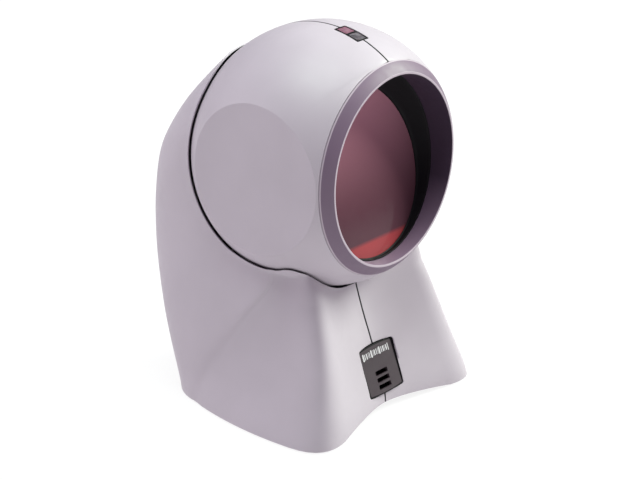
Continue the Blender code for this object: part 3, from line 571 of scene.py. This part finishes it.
def metal(name, colour, roughness, grain=900, depth=0.000008, stretch=(1, 1, 12)):
    """Turned or rolled metal: streaks in the roughness and a faint lay in the surface."""
    tree = new_tree(name)
    tree.show("Metallic", 1.0)
    mapping = tree.add("Mapping")
    tree.feed(mapping.inputs["Vector"], tree.places["Object"])
    tree.feed(mapping.inputs["Scale"], stretch)
    streak = tree.noise(grain, 3, mapping.outputs["Vector"])
    patch = tree.remap(tree.noise(120, 3), 0, 1)
    tree.show("Base Color", tree.mix(patch, tuple(c * 0.88 for c in colour), colour))
    tree.show("Roughness", tree.remap(streak, roughness - 0.08, roughness + 0.10))
    tree.bump(streak, depth)
    return tree.owner


def case_plastic(name, shadow_radius=None):
    """Case plastic. Its parting faces are painted near-black, as painted shade in the seam between the
    halves; nearer the ball's middle than a shadow radius it is painted black, as painted shade in the gap
    round the ball.
    """
    tree = Tree(plastic(name, (0.500, 0.443, 0.503), 0.46))
    place = tree.places["Object"]
    side = tree.maths("ABSOLUTE", tree.split(place)["X"])
    # painted shade: the parting faces in the seam are painted near-black
    seam = tree.remap(side, 1, 0, PARTING + 0.00022, PARTING + 0.00034)
    colour = tree.mix(seam, tree.colour(), (0.030, 0.027, 0.032))
    if shadow_radius is not None:
        # painted shade: the skin in the ball's running gap is painted black
        distance = tree.maths("DISTANCE", place, MIDDLE, kind="VectorMath")
        inside = tree.remap(distance, 1, 0, shadow_radius, shadow_radius + 0.0002)
        colour = tree.mix(inside, colour, (0.012, 0.010, 0.013))
    tree.show("Base Color", colour)
    return tree.owner


def bezel_plastic(colour, roughness):
    """Lilac plastic. Its bore is painted darker as painted shade, save its foot, which is painted lighter
    than the band as painted light on the sill; the front edge and the outer edge at the seam carry painted
    highlights.
    """
    tree = Tree(plastic("bezel_lilac", colour, roughness))
    rel = tree.maths("SUBTRACT", tree.places["Object"], MIDDLE, kind="VectorMath", out="Vector")
    split = tree.split(rel)
    flat = tree.add("CombineXYZ")
    tree.feed(flat.inputs["X"], split["X"])
    tree.feed(flat.inputs["Z"], split["Z"])
    radius = tree.maths("LENGTH", flat.outputs["Vector"], kind="VectorMath")
    # painted shade: the bore is painted dark, and its foot lighter as painted light on the sill
    bore = tree.remap(radius, 1, 0, BEZEL_R + 0.00005, BEZEL_R + 0.00020)
    sill = tree.remap(split["Z"], 1, 0, -0.030, -0.012)
    dark = tree.mix(sill, (0.045, 0.028, 0.054), tuple(c * 1.30 for c in colour))
    body = tree.mix(bore, tree.colour(), dark)
    # painted highlights: the front edge and the outer edge at the seam are painted pale
    front = tree.remap(split["Y"], 1, 0, BEZEL_Y + 0.00001, BEZEL_Y + 0.00012)
    seam_edge_highlight = tree.remap(split["Y"], 0, 1, RING_Y - 0.00042, RING_Y - 0.00025)
    outside = tree.remap(radius, 0, 1, 0.0385, 0.0390)
    edges = tree.maths("MAXIMUM", front, tree.maths("MULTIPLY", seam_edge_highlight, outside))
    tree.show("Base Color", tree.mix(edges, body, (0.46, 0.38, 0.45)))
    return tree.owner


HEAD_CASE = case_plastic("case_grey_head")
STAND_CASE = case_plastic("case_grey_stand", BALL_R + RUN + 0.0001)
BEZEL = bezel_plastic((0.170, 0.113, 0.172), 0.50)
BLACK = plastic("black_plastic", (0.005, 0.004, 0.006), 0.62, change=0.2)
BLACK.node_tree.nodes["Principled BSDF"].inputs["Specular IOR Level"].default_value = 0.2
BADGE = plastic("badge_grey", (0.047, 0.031, 0.041), 0.42, change=0.06)
MARK = plastic("mark_white", (0.62, 0.60, 0.63), 0.5)


# ---- build: stand ------------------------------------------------------------------------------------
STAND_HALVES = both_halves("stand", *closed_shell(*stand_half()), STAND_CASE)


# ---- build: head -------------------------------------------------------------------------------------
HEAD_LIP = 0.00022
FLAT_EDGE = 0.0009        # fillet radius round the flats
EDGE_R = math.sqrt(BALL_R ** 2 - (PARTING + HEAD_LIP) ** 2)
SEAM_Y = abs(RING_Y) - GAP - HEAD_LIP
SEAM_RAYS, PARTING_RAYS = 81, 141
CAP_RINGS, FILLET_RINGS = 40, 7


def head_half():
    """Skins of the right half head as points[ring][ray]: rings run from the flat's middle outwards."""
    corner = math.acos(SEAM_Y / EDGE_R)
    front = np.linspace(-corner, corner, SEAM_RAYS)
    rest = np.linspace(corner, 2 * math.pi - corner, PARTING_RAYS)[1:-1]
    angles = np.concatenate([front, rest])
    flat_r = math.sqrt(BALL_R ** 2 - FLAT_X ** 2)
    # fillet between the flat and the ball, in the plane of a ray
    lean = math.asin(flat_r / BALL_R)
    tangent = FLAT_EDGE * math.tan(lean / 2)
    rings = []
    way = np.stack([np.zeros_like(angles), -np.cos(angles), np.sin(angles)], -1)
    sideways = np.array([1.0, 0, 0])

    def ring(radius, x, tilt):
        """A ring of points at radius from the X axis, with its normals tilted away from X."""
        radius, x, tilt = (np.broadcast_to(value, angles.shape)[:, None] for value in (radius, x, tilt))
        rings.append((way * radius + x * sideways, way * np.sin(tilt) + np.cos(tilt) * sideways))

    centre_r, centre_x = flat_r - tangent, FLAT_X - FLAT_EDGE
    for share in (0.002, 0.10, 0.22, 0.36, 0.50, 0.64, 0.76, 0.86, 0.93, 0.97):
        ring(centre_r * share, FLAT_X, 0.0)
    for step in range(FILLET_RINGS):
        a = lean * step / (FILLET_RINGS - 1)
        ring(centre_r + FLAT_EDGE * math.sin(a), centre_x + FLAT_EDGE * math.cos(a), a)
    start = lean + 0.004
    limit = np.where(np.abs(np.cos(angles)) > 1e-9, SEAM_Y / np.maximum(np.cos(angles), 1e-9), 1.0)
    end = np.arcsin(np.minimum(EDGE_R, np.where(np.cos(angles) > 0, limit, 1.0)) / BALL_R)
    for step in range(1, CAP_RINGS + 1):
        a = start + (end - start) * (step / CAP_RINGS)
        ring(BALL_R * np.sin(a), BALL_R * np.cos(a), a)
    points = np.array([p for p, _ in rings])
    normals = np.array([n for _, n in rings])
    return points, normals, angles


def head_shell_mesh():
    """Vertices and faces of the right half head: two skins joined by a rounded edge."""
    points, normals, angles = head_half()
    inner = points - normals * WALL
    rings, rays = points.shape[:2]
    flat = rings * rays
    vertices = [points.reshape(-1, 3), inner.reshape(-1, 3)]
    index = np.arange(flat).reshape(rings, rays)
    faces = []
    for r in range(rings - 1):
        faces.extend(loop_faces(list(index[r]), list(index[r + 1])))
        faces.extend(loop_faces(list(index[r + 1] + flat), list(index[r] + flat)))
    middle = 2 * flat
    vertices.append(np.array([[FLAT_X, 0, 0], [FLAT_X - WALL, 0, 0]]))
    for c in range(rays):
        d = (c + 1) % rays
        faces.append((index[0, d], index[0, c], middle))
        faces.append((index[0, c] + flat, index[0, d] + flat, middle + 1))
    total = middle + 2
    # the edge runs along the seam with the bezel, then along the parting line
    edge, under, nrm = points[-1], inner[-1].copy(), normals[-1]
    cosine = np.cos(angles)
    seam = cosine * np.linalg.norm(edge[:, 1:], axis=1) >= SEAM_Y - 1e-6
    way = np.where(seam[:, None], np.array([0, -1.0, 0]), np.array([-1.0, 0, 0]))
    corners = [0, SEAM_RAYS - 1]
    way[corners] = unit(np.array([-1.0, -1.0, 0]))
    parting = ~seam
    parting[corners] = True
    under[parting, 0] = edge[parting, 0]
    under[seam, 1] = edge[seam, 1]
    vertices[1] = vertices[1].copy()
    vertices[1][(rings - 1) * rays:] = under
    ring_list = [index[-1]]
    for base, sign, degrees in ((edge, -1, 30), (edge, -1, 60), (edge, -1, 90), (under, 1, 90),
                                (under, 1, 45)):
        a = math.radians(degrees)
        vertices.append(base + way * HEAD_LIP * math.sin(a) + sign * nrm * HEAD_LIP * (1 - math.cos(a)))
        ring_list.append(np.arange(total, total + rays))
        total += rays
    ring_list.append(index[-1] + flat)
    for first, second in zip(ring_list, ring_list[1:]):
        faces.extend(loop_faces(list(first), list(second)))
    return np.concatenate(vertices) + CENTRE, faces


# the head's middle is at x = 0, so the mirror image needs no shift
HEAD_HALVES = both_halves("head", *head_shell_mesh(), HEAD_CASE)


# ---- build: bezel, baffle and window -----------------------------------------------------------------
def arc(centre, radius, first, last, steps=5):
    """Points on an arc in a section plane; the angles are in degrees."""
    turns = [math.radians(first + (last - first) * i / steps) for i in range(steps + 1)]
    return [(centre[0] + radius * math.cos(a), centre[1] + radius * math.sin(a)) for a in turns]


def around(rays):
    """Cosine and sine of even steps round a circle."""
    turns = [2 * math.pi * i / rays for i in range(rays)]
    return [(math.cos(a), math.sin(a)) for a in turns]


def ring_piece(name, section, rays, look, node):
    """A closed ring of the head; section(cosine, sine) is its loop of points, from CENTRE."""
    rings = [np.array(section(cosine, sine)) + CENTRE for cosine, sine in around(rays)]
    shade(loft(name, rings, look, "head", (node,), closed=True))


def bezel_section(cosine, sine):
    """The bore, the rolled front edge, the band down to the seam, and the sleeve behind it."""
    edge, seam = 0.00030, RING_Y + 0.00018
    back = BEZEL_BACK + BEZEL_R * cosine * math.tan(BEZEL_TILT)
    seam_r = math.sqrt(BALL_R ** 2 - seam ** 2) - 0.00005
    sleeve = BEZEL_R + 0.0018
    loop = [(BEZEL_R, back + (BEZEL_Y + edge - back) * i / 10) for i in range(10)]
    loop += arc((BEZEL_R + edge, BEZEL_Y + edge), edge, 180, 270)
    loop += arc((BEZEL_FRONT_R - edge, BEZEL_Y + edge), edge, -90, -38)
    # the band, bowed out by 0.22 mm
    start, end = loop[-1], (seam_r, seam - 0.00012)
    for i in range(1, 9):
        t = i / 9
        bow = 0.00022 * 4 * t * (1 - t) * 0.7071
        loop.append((start[0] + (end[0] - start[0]) * t + bow, start[1] + (end[1] - start[1]) * t - bow))
    loop += [end, (seam_r - 0.00004, seam - 0.00003), (seam_r - 0.00016, seam)]
    loop += [(sleeve + 0.0006, seam), (sleeve, seam + 0.0006), (sleeve, back)]
    return [(r * sine, y, r * cosine) for r, y in loop]


def baffle_section(cosine, sine):
    """From the baffle's front edge (share 0) to the window (share 1), each point grown outwards."""
    wall = 0.0012
    section = [(0, wall), (0, wall * 0.6), (0, 0.0003), (0.02, 0.00008), (0.05, 0)]
    section += [(0.05 + 0.8 * i / 10, 0) for i in range(1, 11)]
    section += [(0.88, -0.00018), (0.93, -0.00034), (0.97, -0.00036), (1, -0.00022), (1, 0.0004)]
    section += [(1, wall), (0.6, wall), (0.3, wall)]
    loop = []
    for share, grow in section:
        radius = (BEZEL_R - 0.0002) * (1 - share) + WINDOW_VIEW_R * share + grow
        tilt = BEZEL_TILT * (1 - share) + WINDOW_TILT * share
        y = (BEZEL_BACK + 0.0001) * (1 - share) + WINDOW_Y * share
        z = WINDOW_Z * share
        up = radius * cosine
        loop.append((radius * sine, y + up * math.sin(tilt), z + up * math.cos(tilt)))
    return loop


def window_look():
    """Dark red filter glass, painted lighter towards the top as painted light, with a painted glow in a
    brighter wedge at its foot.
    """
    tree = new_tree("window_red")
    height = tree.split(tree.places["Object"])["Z"]
    base = CENTRE[2]
    # painted light: the glass is painted lighter towards the top
    rise = tree.maths("POWER", tree.remap(height, 0, 1, base - 0.026, base + 0.030), 2.0)
    colour = tree.mix(rise, (0.100, 0.040, 0.056), (0.850, 0.370, 0.490))
    # painted light: a brighter red wedge painted at the foot, clouded with noise
    wedge = tree.remap(height, 1, 0, base - 0.0306, base - 0.0290)
    cloud = tree.remap(tree.noise(60, 3), 0.75, 1.0)
    painted_glow = tree.mix(cloud, (0.21, 0.028, 0.036), (0.38, 0.055, 0.064))
    tree.show("Base Color", tree.mix(wedge, colour, painted_glow))
    tree.show("Roughness", tree.remap(tree.noise(300, 2), 0.05, 0.09))
    tree.show("IOR", 1.33)
    return tree.owner


def window():
    """The round glass, which leans back at the top, with rounded rims."""
    edge, half = 0.0003, WINDOW_T / 2
    turn = Matrix.Rotation(-WINDOW_TILT, 3, "X")
    centre = MIDDLE + Vector((0, WINDOW_Y, WINDOW_Z)) - turn @ Vector((0, -1, 0)) * (GAP / 2 + half)
    profile = [(WINDOW_R * share, -half) for share in (0.2, 0.45, 0.7, 0.88)]
    profile += arc((WINDOW_R - edge, -half + edge), edge, -90, 0, 4)
    profile += arc((WINDOW_R - edge, half - edge), edge, 0, 90, 4)
    profile += [(WINDOW_R * share, half) for share in (0.8, 0.4)]
    rings = [[centre + turn @ Vector((r * sine, y, r * cosine)) for cosine, sine in around(160)]
             for r, y in profile]
    ends = [centre + turn @ Vector((0, y, 0)) for y in (-half, half)]
    shade(loft("window_glass", rings, window_look(), "head", ("scan_window",), ends))


ring_piece("bezel_ring", bezel_section, 192, BEZEL, "window_bezel")
ring_piece("baffle", baffle_section, 160, BLACK, "window_baffle")
window()


# ---- build: indicator on the crown -------------------------------------------------------------------
LEAN = math.radians(14.5)
INDICATOR_W, INDICATOR_L = 0.0068, 0.0116
INDICATOR_ROOM = 0.0003
PANE_W, PANE_L = INDICATOR_W - 0.0015, INDICATOR_L / 2 - 0.0009
CROWN_OUT = Vector((0, -math.sin(LEAN), math.cos(LEAN)))
CROWN_BACK = Vector((0, math.cos(LEAN), math.sin(LEAN)))


def rounded(width, length, corner, steps=4):
    """Outline of a rectangle with round corners, about its middle."""
    points = []
    for quarter, (sx, sy) in enumerate(((1, 1), (-1, 1), (-1, -1), (1, -1))):
        centre = (sx * (width / 2 - corner), sy * (length / 2 - corner))
        points += arc(centre, corner, 90 * quarter, 90 * quarter + 90, steps)
    return points


def crown_point(u, v, lift):
    """The place u across and v back from the indicator's middle, lifted off the ball."""
    height = math.sqrt((BALL_R + lift) ** 2 - u * u - v * v)
    return MIDDLE + Vector((u, 0, 0)) + CROWN_BACK * v + CROWN_OUT * height


def crown_plate(name, width, length, corner, along, low, high, edge, look=None, replaces=()):
    """A small plate that follows the ball's surface, from lift low to lift high."""
    rings = []
    for share, inset, lift in ((0.35, edge, high), (0.75, edge, high), (1, edge, high),
                               (1, edge * 0.3, high - edge * 0.3), (1, 0, high - edge), (1, 0, low)):
        rings.append([crown_point(u * share, v * share + along, lift)
                      for u, v in rounded(width - 2 * inset, length - 2 * inset, corner)])
    ends = [crown_point(0, along, high), crown_point(0, along, low)]
    return loft(name, rings, look, "head" if replaces else None, replaces, ends)


def lens_look(name, deep, pale):
    """Tinted lens, a little cloudy."""
    tree = new_tree(name)
    tree.show("Base Color", tree.mix(tree.remap(tree.noise(420, 3), 0, 1), deep, pale))
    tree.show("Roughness", 0.18)
    tree.show("Subsurface Weight", 0.15)
    tree.show("Subsurface Radius", (0.002, 0.001, 0.001))
    tree.bump(tree.noise(1500, 2), 0.00001)
    return tree.owner


def indicator():
    """Cut its room across both halves, then set in the dark surround and the two lenses."""
    for half in HEAD_HALVES:
        room = crown_plate("indicator_room", INDICATOR_W + INDICATOR_ROOM, INDICATOR_L + INDICATOR_ROOM,
                           0.0007, 0, -0.006, 0.004, 0.0001)
        cut(half, [room])
        shade(half)
    surround = crown_plate("indicator_surround", INDICATOR_W, INDICATOR_L, 0.0006, 0, -0.0030, 0.00012,
                           0.00015, BLACK, ("indicator_frame",))
    rooms = []
    tints = [("red", (0.17, 0.055, 0.090), (0.28, 0.15, 0.20), 1),
             ("clear", (0.045, 0.038, 0.045), (0.17, 0.15, 0.17), -1)]
    for tint, deep, pale, side in tints:
        name, look = "lens_" + tint, lens_look("lamp_" + tint, deep, pale)
        along = side * (INDICATOR_L / 4 - 0.0001)
        rooms.append(crown_plate(name + "_room", PANE_W, PANE_L, 0.0005, along, -0.006, 0.002, 0.0001))
        shade(crown_plate(name, PANE_W - 0.0002, PANE_L - 0.0002, 0.0004, along, -0.0028, 0.00002, 0.00012,
                          look, ("indicator_" + name,)))
    cut(surround, rooms)
    shade(surround)


indicator()


# ---- build: badge, its seat and the cable mouth ------------------------------------------------------
BADGE_SLOPE = math.atan2(0.0074, 0.020)
BADGE_W, BADGE_H, BADGE_T, BADGE_BOW = 0.0206, 0.0186, 0.0012, 0.0006
BADGE_UP = Vector((0, math.sin(BADGE_SLOPE), math.cos(BADGE_SLOPE)))
BADGE_OUT = Vector((0, -math.cos(BADGE_SLOPE), math.sin(BADGE_SLOPE)))
BADGE_CENTRE = Vector((0, CENTRE[1] - 0.0272, 0.0168))
SLOT_W, SLOT_H, SLOT_STEP, SLOT_FOOT = 0.0074, 0.0018, 0.0028, -0.0070
BAR_UNIT, BARS_LEFT, BARS_RISE = 0.000225, -0.0086, 0.0063
SOUND_W, SOUND_H, SOUND_DROP = 0.0100, 0.0110, 0.0036
JACK_W, JACK_H = 0.0140, 0.0120
JACK_FRONT, JACK_Z = CENTRE[1] + 0.0548, 0.0154
MOUTH_DROP = 0.0020       # how far the top of the socket's mouth is lowered


def badge_point(x, y, out):
    return BADGE_CENTRE + Vector((x, 0, 0)) + BADGE_UP * y + BADGE_OUT * out


def badge_outline(grow=0.0, corner=0.0006):
    """The badge's outline: straight sides, top and bottom bowed, small round corners."""
    points = rounded(BADGE_W + 2 * grow, BADGE_H + 2 * grow, corner + grow)
    dense = []
    for (x0, y0), (x1, y1) in zip(points, points[1:] + points[:1]):
        steps = 14 if abs(x1 - x0) > 0.010 else 1
        for i in range(steps):
            x, y = x0 + (x1 - x0) * i / steps, y0 + (y1 - y0) * i / steps
            bow = math.copysign(BADGE_BOW, y) if abs(y) > BADGE_H * 0.45 else 0
            dense.append((x, y + bow * (1 - (2 * x / BADGE_W) ** 2)))
    return dense


def prism(name, outline, low, high, edge, look, point, body=None, replaces=()):
    """A plate with an outline, from low to high, its top edge rounded; point maps it into place."""
    middle = np.mean(outline, axis=0)
    rings = []
    levels = [(2.2 * edge, high), (edge, high), (edge * 0.3, high - edge * 0.3), (0, high - edge), (0, low)]
    for inset, level in levels:
        rings.append([point(x - inset * np.sign(x - middle[0]), y - inset * np.sign(y - middle[1]), level)
                      for x, y in outline])
    return loft(name, rings, look, body, replaces)


def badge():
    """The plate, with its rim in black as painted shade of the gap round it, and three slots for the sound.
    """
    plate = prism("badge_plate", badge_outline(), -BADGE_T / 2, BADGE_T / 2, 0.00022, BADGE, badge_point,
                  "stand", ("front_badge",))
    # painted shade: every face but the middle of the top is black plastic, standing for the shade in the
    # gap round the plate
    plate.data.materials.append(BLACK)
    for face in plate.data.polygons[1:]:
        face.material_index = 1
    slots = []
    for i in range(3):
        rise = SLOT_FOOT + SLOT_STEP * i
        outline = [(x, y + rise) for x, y in rounded(SLOT_W, SLOT_H, 0.0004, 3)]
        slots.append(prism(f"slot_{i}", outline, -0.003, 0.003, 0.0001, None, badge_point))
    cut(plate, slots)
    shade(plate)


def badge_bars():
    """Plain bars of a few widths, a row that follows the bowed top; every fifth is taller."""
    vertices, faces = [], []
    x = BARS_LEFT
    for i, width in enumerate([4, 2, 3, 1, 2, 4, 1, 3, 2, 1, 4, 2, 3, 1, 3, 2]):
        span = width * BAR_UNIT
        half_h = 0.00115 if i % 5 else 0.00145
        middle = x + span / 2
        rise = BARS_RISE + BADGE_BOW * 0.6 * (1 - (2 * middle / BADGE_W) ** 2)
        outline = rounded(span, 2 * half_h, min(span, half_h) * 0.35, 2)
        low = list(range(len(vertices), len(vertices) + len(outline)))
        high = [place + len(outline) for place in low]
        for out in (BADGE_T / 2 - 0.00005, BADGE_T / 2 + 0.00008):
            vertices.extend(badge_point(middle + u, rise + v, out) for u, v in outline)
        faces += [tuple(high), tuple(reversed(low))] + loop_faces(low, high)
        x += span + BAR_UNIT * (2.6 if i % 3 else 1.6)
    bars = mesh_object("badge_bars", vertices, faces, MARK, "stand", ())
    outward(bars)
    shade(bars)


def jack_point(x, z, out):
    """A place in the socket's mouth, out of the back of the stand."""
    return Vector((x, JACK_FRONT + out, JACK_Z - MOUTH_DROP / 2 + z))


def cut_stand():
    """Cut the badge's seat, the speaker's hole behind it and the mouth of the cable socket; the seat's and
    the hole's walls take black plastic from their cutters, as painted shade.
    """
    seat_line = badge_outline(0.00028)
    hole_line = [(x, y - SOUND_DROP) for x, y in rounded(SOUND_W, SOUND_H, 0.001)]
    mouth_line = rounded(JACK_W + 0.0005, JACK_H + 0.0005 - MOUTH_DROP, 0.0005)
    for half in STAND_HALVES:
        # painted shade: the seat and the hole are cut with black plastic, so their walls are black
        seat = prism("seat", seat_line, -BADGE_T / 2 - 0.0001, 0.006, 0.0001, BLACK, badge_point)
        hole = prism("sound", hole_line, -0.012, 0.004, 0.0001, BLACK, badge_point)
        mouth = prism("mouth", mouth_line, -0.010, 0.016, 0.0001, None, jack_point)
        cut(half, [seat, hole, mouth])
        shade(half)


badge()
badge_bars()
cut_stand()


# ---- build: harness and socket contacts --------------------------------------------------------------
def harness():
    """The lead through the hollow tilt stem."""
    down = Vector((0, math.sin(math.radians(50)), -math.cos(math.radians(50))))
    low_turn = Vector((0.0010, 0.0340, -0.0780))
    route = [Vector((0, 0.0272, -0.0080)), Vector((0, 0.0272, -0.0165)), down * 0.0370, down * 0.0480,
             down * 0.0610, Vector((0, 0.0500, -0.0560)), Vector((0, 0.0430, -0.0690)), low_turn,
             Vector((0.0020, 0.0305, -0.0850)), Vector((0.0020, 0.0305, -0.0893))]
    ends = [2 * route[0] - route[1]] + route + [2 * route[-1] - route[-2]]
    points = []
    for a, b, c, d in zip(ends, ends[1:], ends[2:], ends[3:]):
        for t in (i / 6 for i in range(6)):
            points.append(0.5 * (2 * b + (c - a) * t + (2 * a - 5 * b + 4 * c - d) * t * t
                                 + (3 * b - a - 3 * c + d) * t ** 3))
    points.append(route[-1])
    radius = 0.0019
    rings = []
    side = Vector((1, 0, 0))
    for i, point in enumerate(points):
        way = (points[min(i + 1, len(points) - 1)] - points[max(i - 1, 0)]).normalized()
        side = (side - way * side.dot(way)).normalized()
        other = way.cross(side)
        rings.append([MIDDLE + point + (side * cosine + other * sine) * radius
                      for cosine, sine in around(20)])
    look = plastic("harness_jacket", (0.020, 0.020, 0.022), 0.5, change=0.15, grain=1800)
    made = loft("harness_lead", rings, look)
    shade(made)
    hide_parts("harness")
    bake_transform(made)


def contacts():
    """Ten sprung wires in the cable socket."""
    line = [(-0.0125, 0.0040), (-0.0115, 0.0034), (-0.0060, 0.0006), (-0.0045, 0.0002)]
    half = 0.00022
    vertices, faces = [], []
    for i in range(10):
        x = (i - 4.5) * 0.00102
        rings = []
        for y, z in line:
            rings.append(list(range(len(vertices), len(vertices) + 4)))
            vertices.extend((x + across * half, JACK_FRONT + y, JACK_Z + z + up * half)
                            for across, up in ((-1, -1), (1, -1), (1, 1), (-1, 1)))
        for first, second in zip(rings, rings[1:]):
            faces.extend(loop_faces(first, second))
        faces += [tuple(rings[0]), tuple(reversed(rings[-1]))]
    made = mesh_object("socket_contacts", vertices, faces, METALS["brass"], "stand", ())
    outward(made)


METALS = {
    "steel": metal("steel", (0.60, 0.60, 0.62), 0.32),
    "iron": metal("iron", (0.23, 0.23, 0.24), 0.58, grain=500, depth=0.00003, stretch=(1, 1, 1)),
    "brass": metal("brass", (0.62, 0.46, 0.20), 0.34),
    "mirror": metal("mirror", (0.85, 0.87, 0.89), 0.10, grain=200, depth=0.000001, stretch=(1, 1, 1)),
}
harness()
contacts()


# ---- looks of the CAD nodes that stay ----------------------------------------------------------------
def board_look():
    """Green solder mask with lighter copper runs under it."""
    tree = new_tree("circuit_board")
    runs = tree.add("TexBrick")
    tree.feed(runs.inputs["Scale"], 420)
    tree.feed(runs.inputs["Mortar Size"], 0.03)
    tree.feed(runs.inputs["Vector"], tree.places["Object"])
    tree.show("Base Color", tree.mix(runs.outputs["Fac"], (0.016, 0.115, 0.052), (0.040, 0.210, 0.090)))
    tree.show("Roughness", tree.remap(tree.noise(300, 3), 0.28, 0.42))
    tree.bump(runs.outputs["Fac"], 0.00003)
    return tree.owner


# by material slot; a node that is replaced above needs none
LOOKS = {
    **METALS,
    "black_plastic": BLACK,
    "rubber": plastic("rubber", (0.022, 0.021, 0.022), 0.82, change=0.25, grain=1500, depth=0.00004),
    "circuit_board": board_look(),
    "optical_frame": plastic("optical_frame", (0.055, 0.052, 0.058), 0.62, change=0.1),
    "lamp_red": plastic("lamp_body_red", (0.55, 0.07, 0.08), 0.25),
    "lamp_clear": plastic("lamp_body_clear", (0.70, 0.70, 0.72), 0.25),
}

for part in frame["record"]["subparts"]:
    kept = frame["nodes"][part["node"]]
    if kept.hide_render:
        continue
    look = LOOKS[part["material_slot"]]
    if not kept.material_slots:
        kept.data.materials.append(look)
    for place in kept.material_slots:
        place.material = look


# ---- floor, light and camera -------------------------------------------------------------------------
def floor():
    tree = new_tree("floor_white")
    tree.show("Roughness", 0.9)
    tone = tree.remap(tree.noise(3, 2), 0, 1)
    tree.show("Base Color", tree.mix(tone, (0.115, 0.115, 0.115), (0.125, 0.125, 0.125)))
    tree.show("Emission Color", (1, 1, 1))
    tree.show("Emission Strength", 0.87)
    corners = [(-6, -6, 0), (6, -6, 0), (6, 6, 0), (-6, 6, 0)]
    mesh_object("floor", corners, [(0, 1, 2, 3)], tree.owner)


def area_light(name, place, size, power, colour):
    data = bpy.data.lights.new(name, "AREA")
    data.shape = "DISK"
    data.size = size
    data.energy = power
    data.color = colour
    made = bpy.data.objects.new(name, data)
    made.location = place
    made.rotation_euler = (MIDDLE - Vector(place)).to_track_quat("-Z", "Y").to_euler()
    bpy.context.scene.collection.objects.link(made)


def world():
    """Soft studio surround: dim and lilac at the horizon, brighter overhead."""
    tree = Tree(bpy.data.worlds.new("studio"))
    lift = tree.remap(tree.split(tree.places["Generated"])["Z"], 0, 1, 0.05, 0.95)
    tree.show("Color", tree.mix(lift, (0.022, 0.007, 0.026), (0.47, 0.424, 0.50)))
    bpy.context.scene.world = tree.owner


def camera():
    """A long lens 0.9 m away, off to the left of the front and higher than the head."""
    data = bpy.data.cameras.new("camera")
    data.lens, data.sensor_width = 130.3, 36.0
    data.clip_start = 0.01
    made = bpy.data.objects.new("camera", data)
    made.location = MIDDLE + Vector((-0.6598, -0.5217, 0.2752))
    made.rotation_euler = Vector((0.7346, 0.5833, -0.3466)).to_track_quat("-Z", "Y").to_euler()
    bpy.context.scene.collection.objects.link(made)
    bpy.context.scene.camera = made
floor()
world()
area_light("key", (1.22, -0.76, 0.98), 0.9, 38, (0.905, 1.0, 0.87))
area_light("top", (-0.20, 0.02, 1.50), 0.9, 17, (0.88, 1.0, 0.91))
area_light("left_back", (-0.80, 1.35, 0.60), 0.7, 5, (1.0, 0.88, 1.0))
camera()
bpy.context.scene.view_settings.view_transform = "Standard"
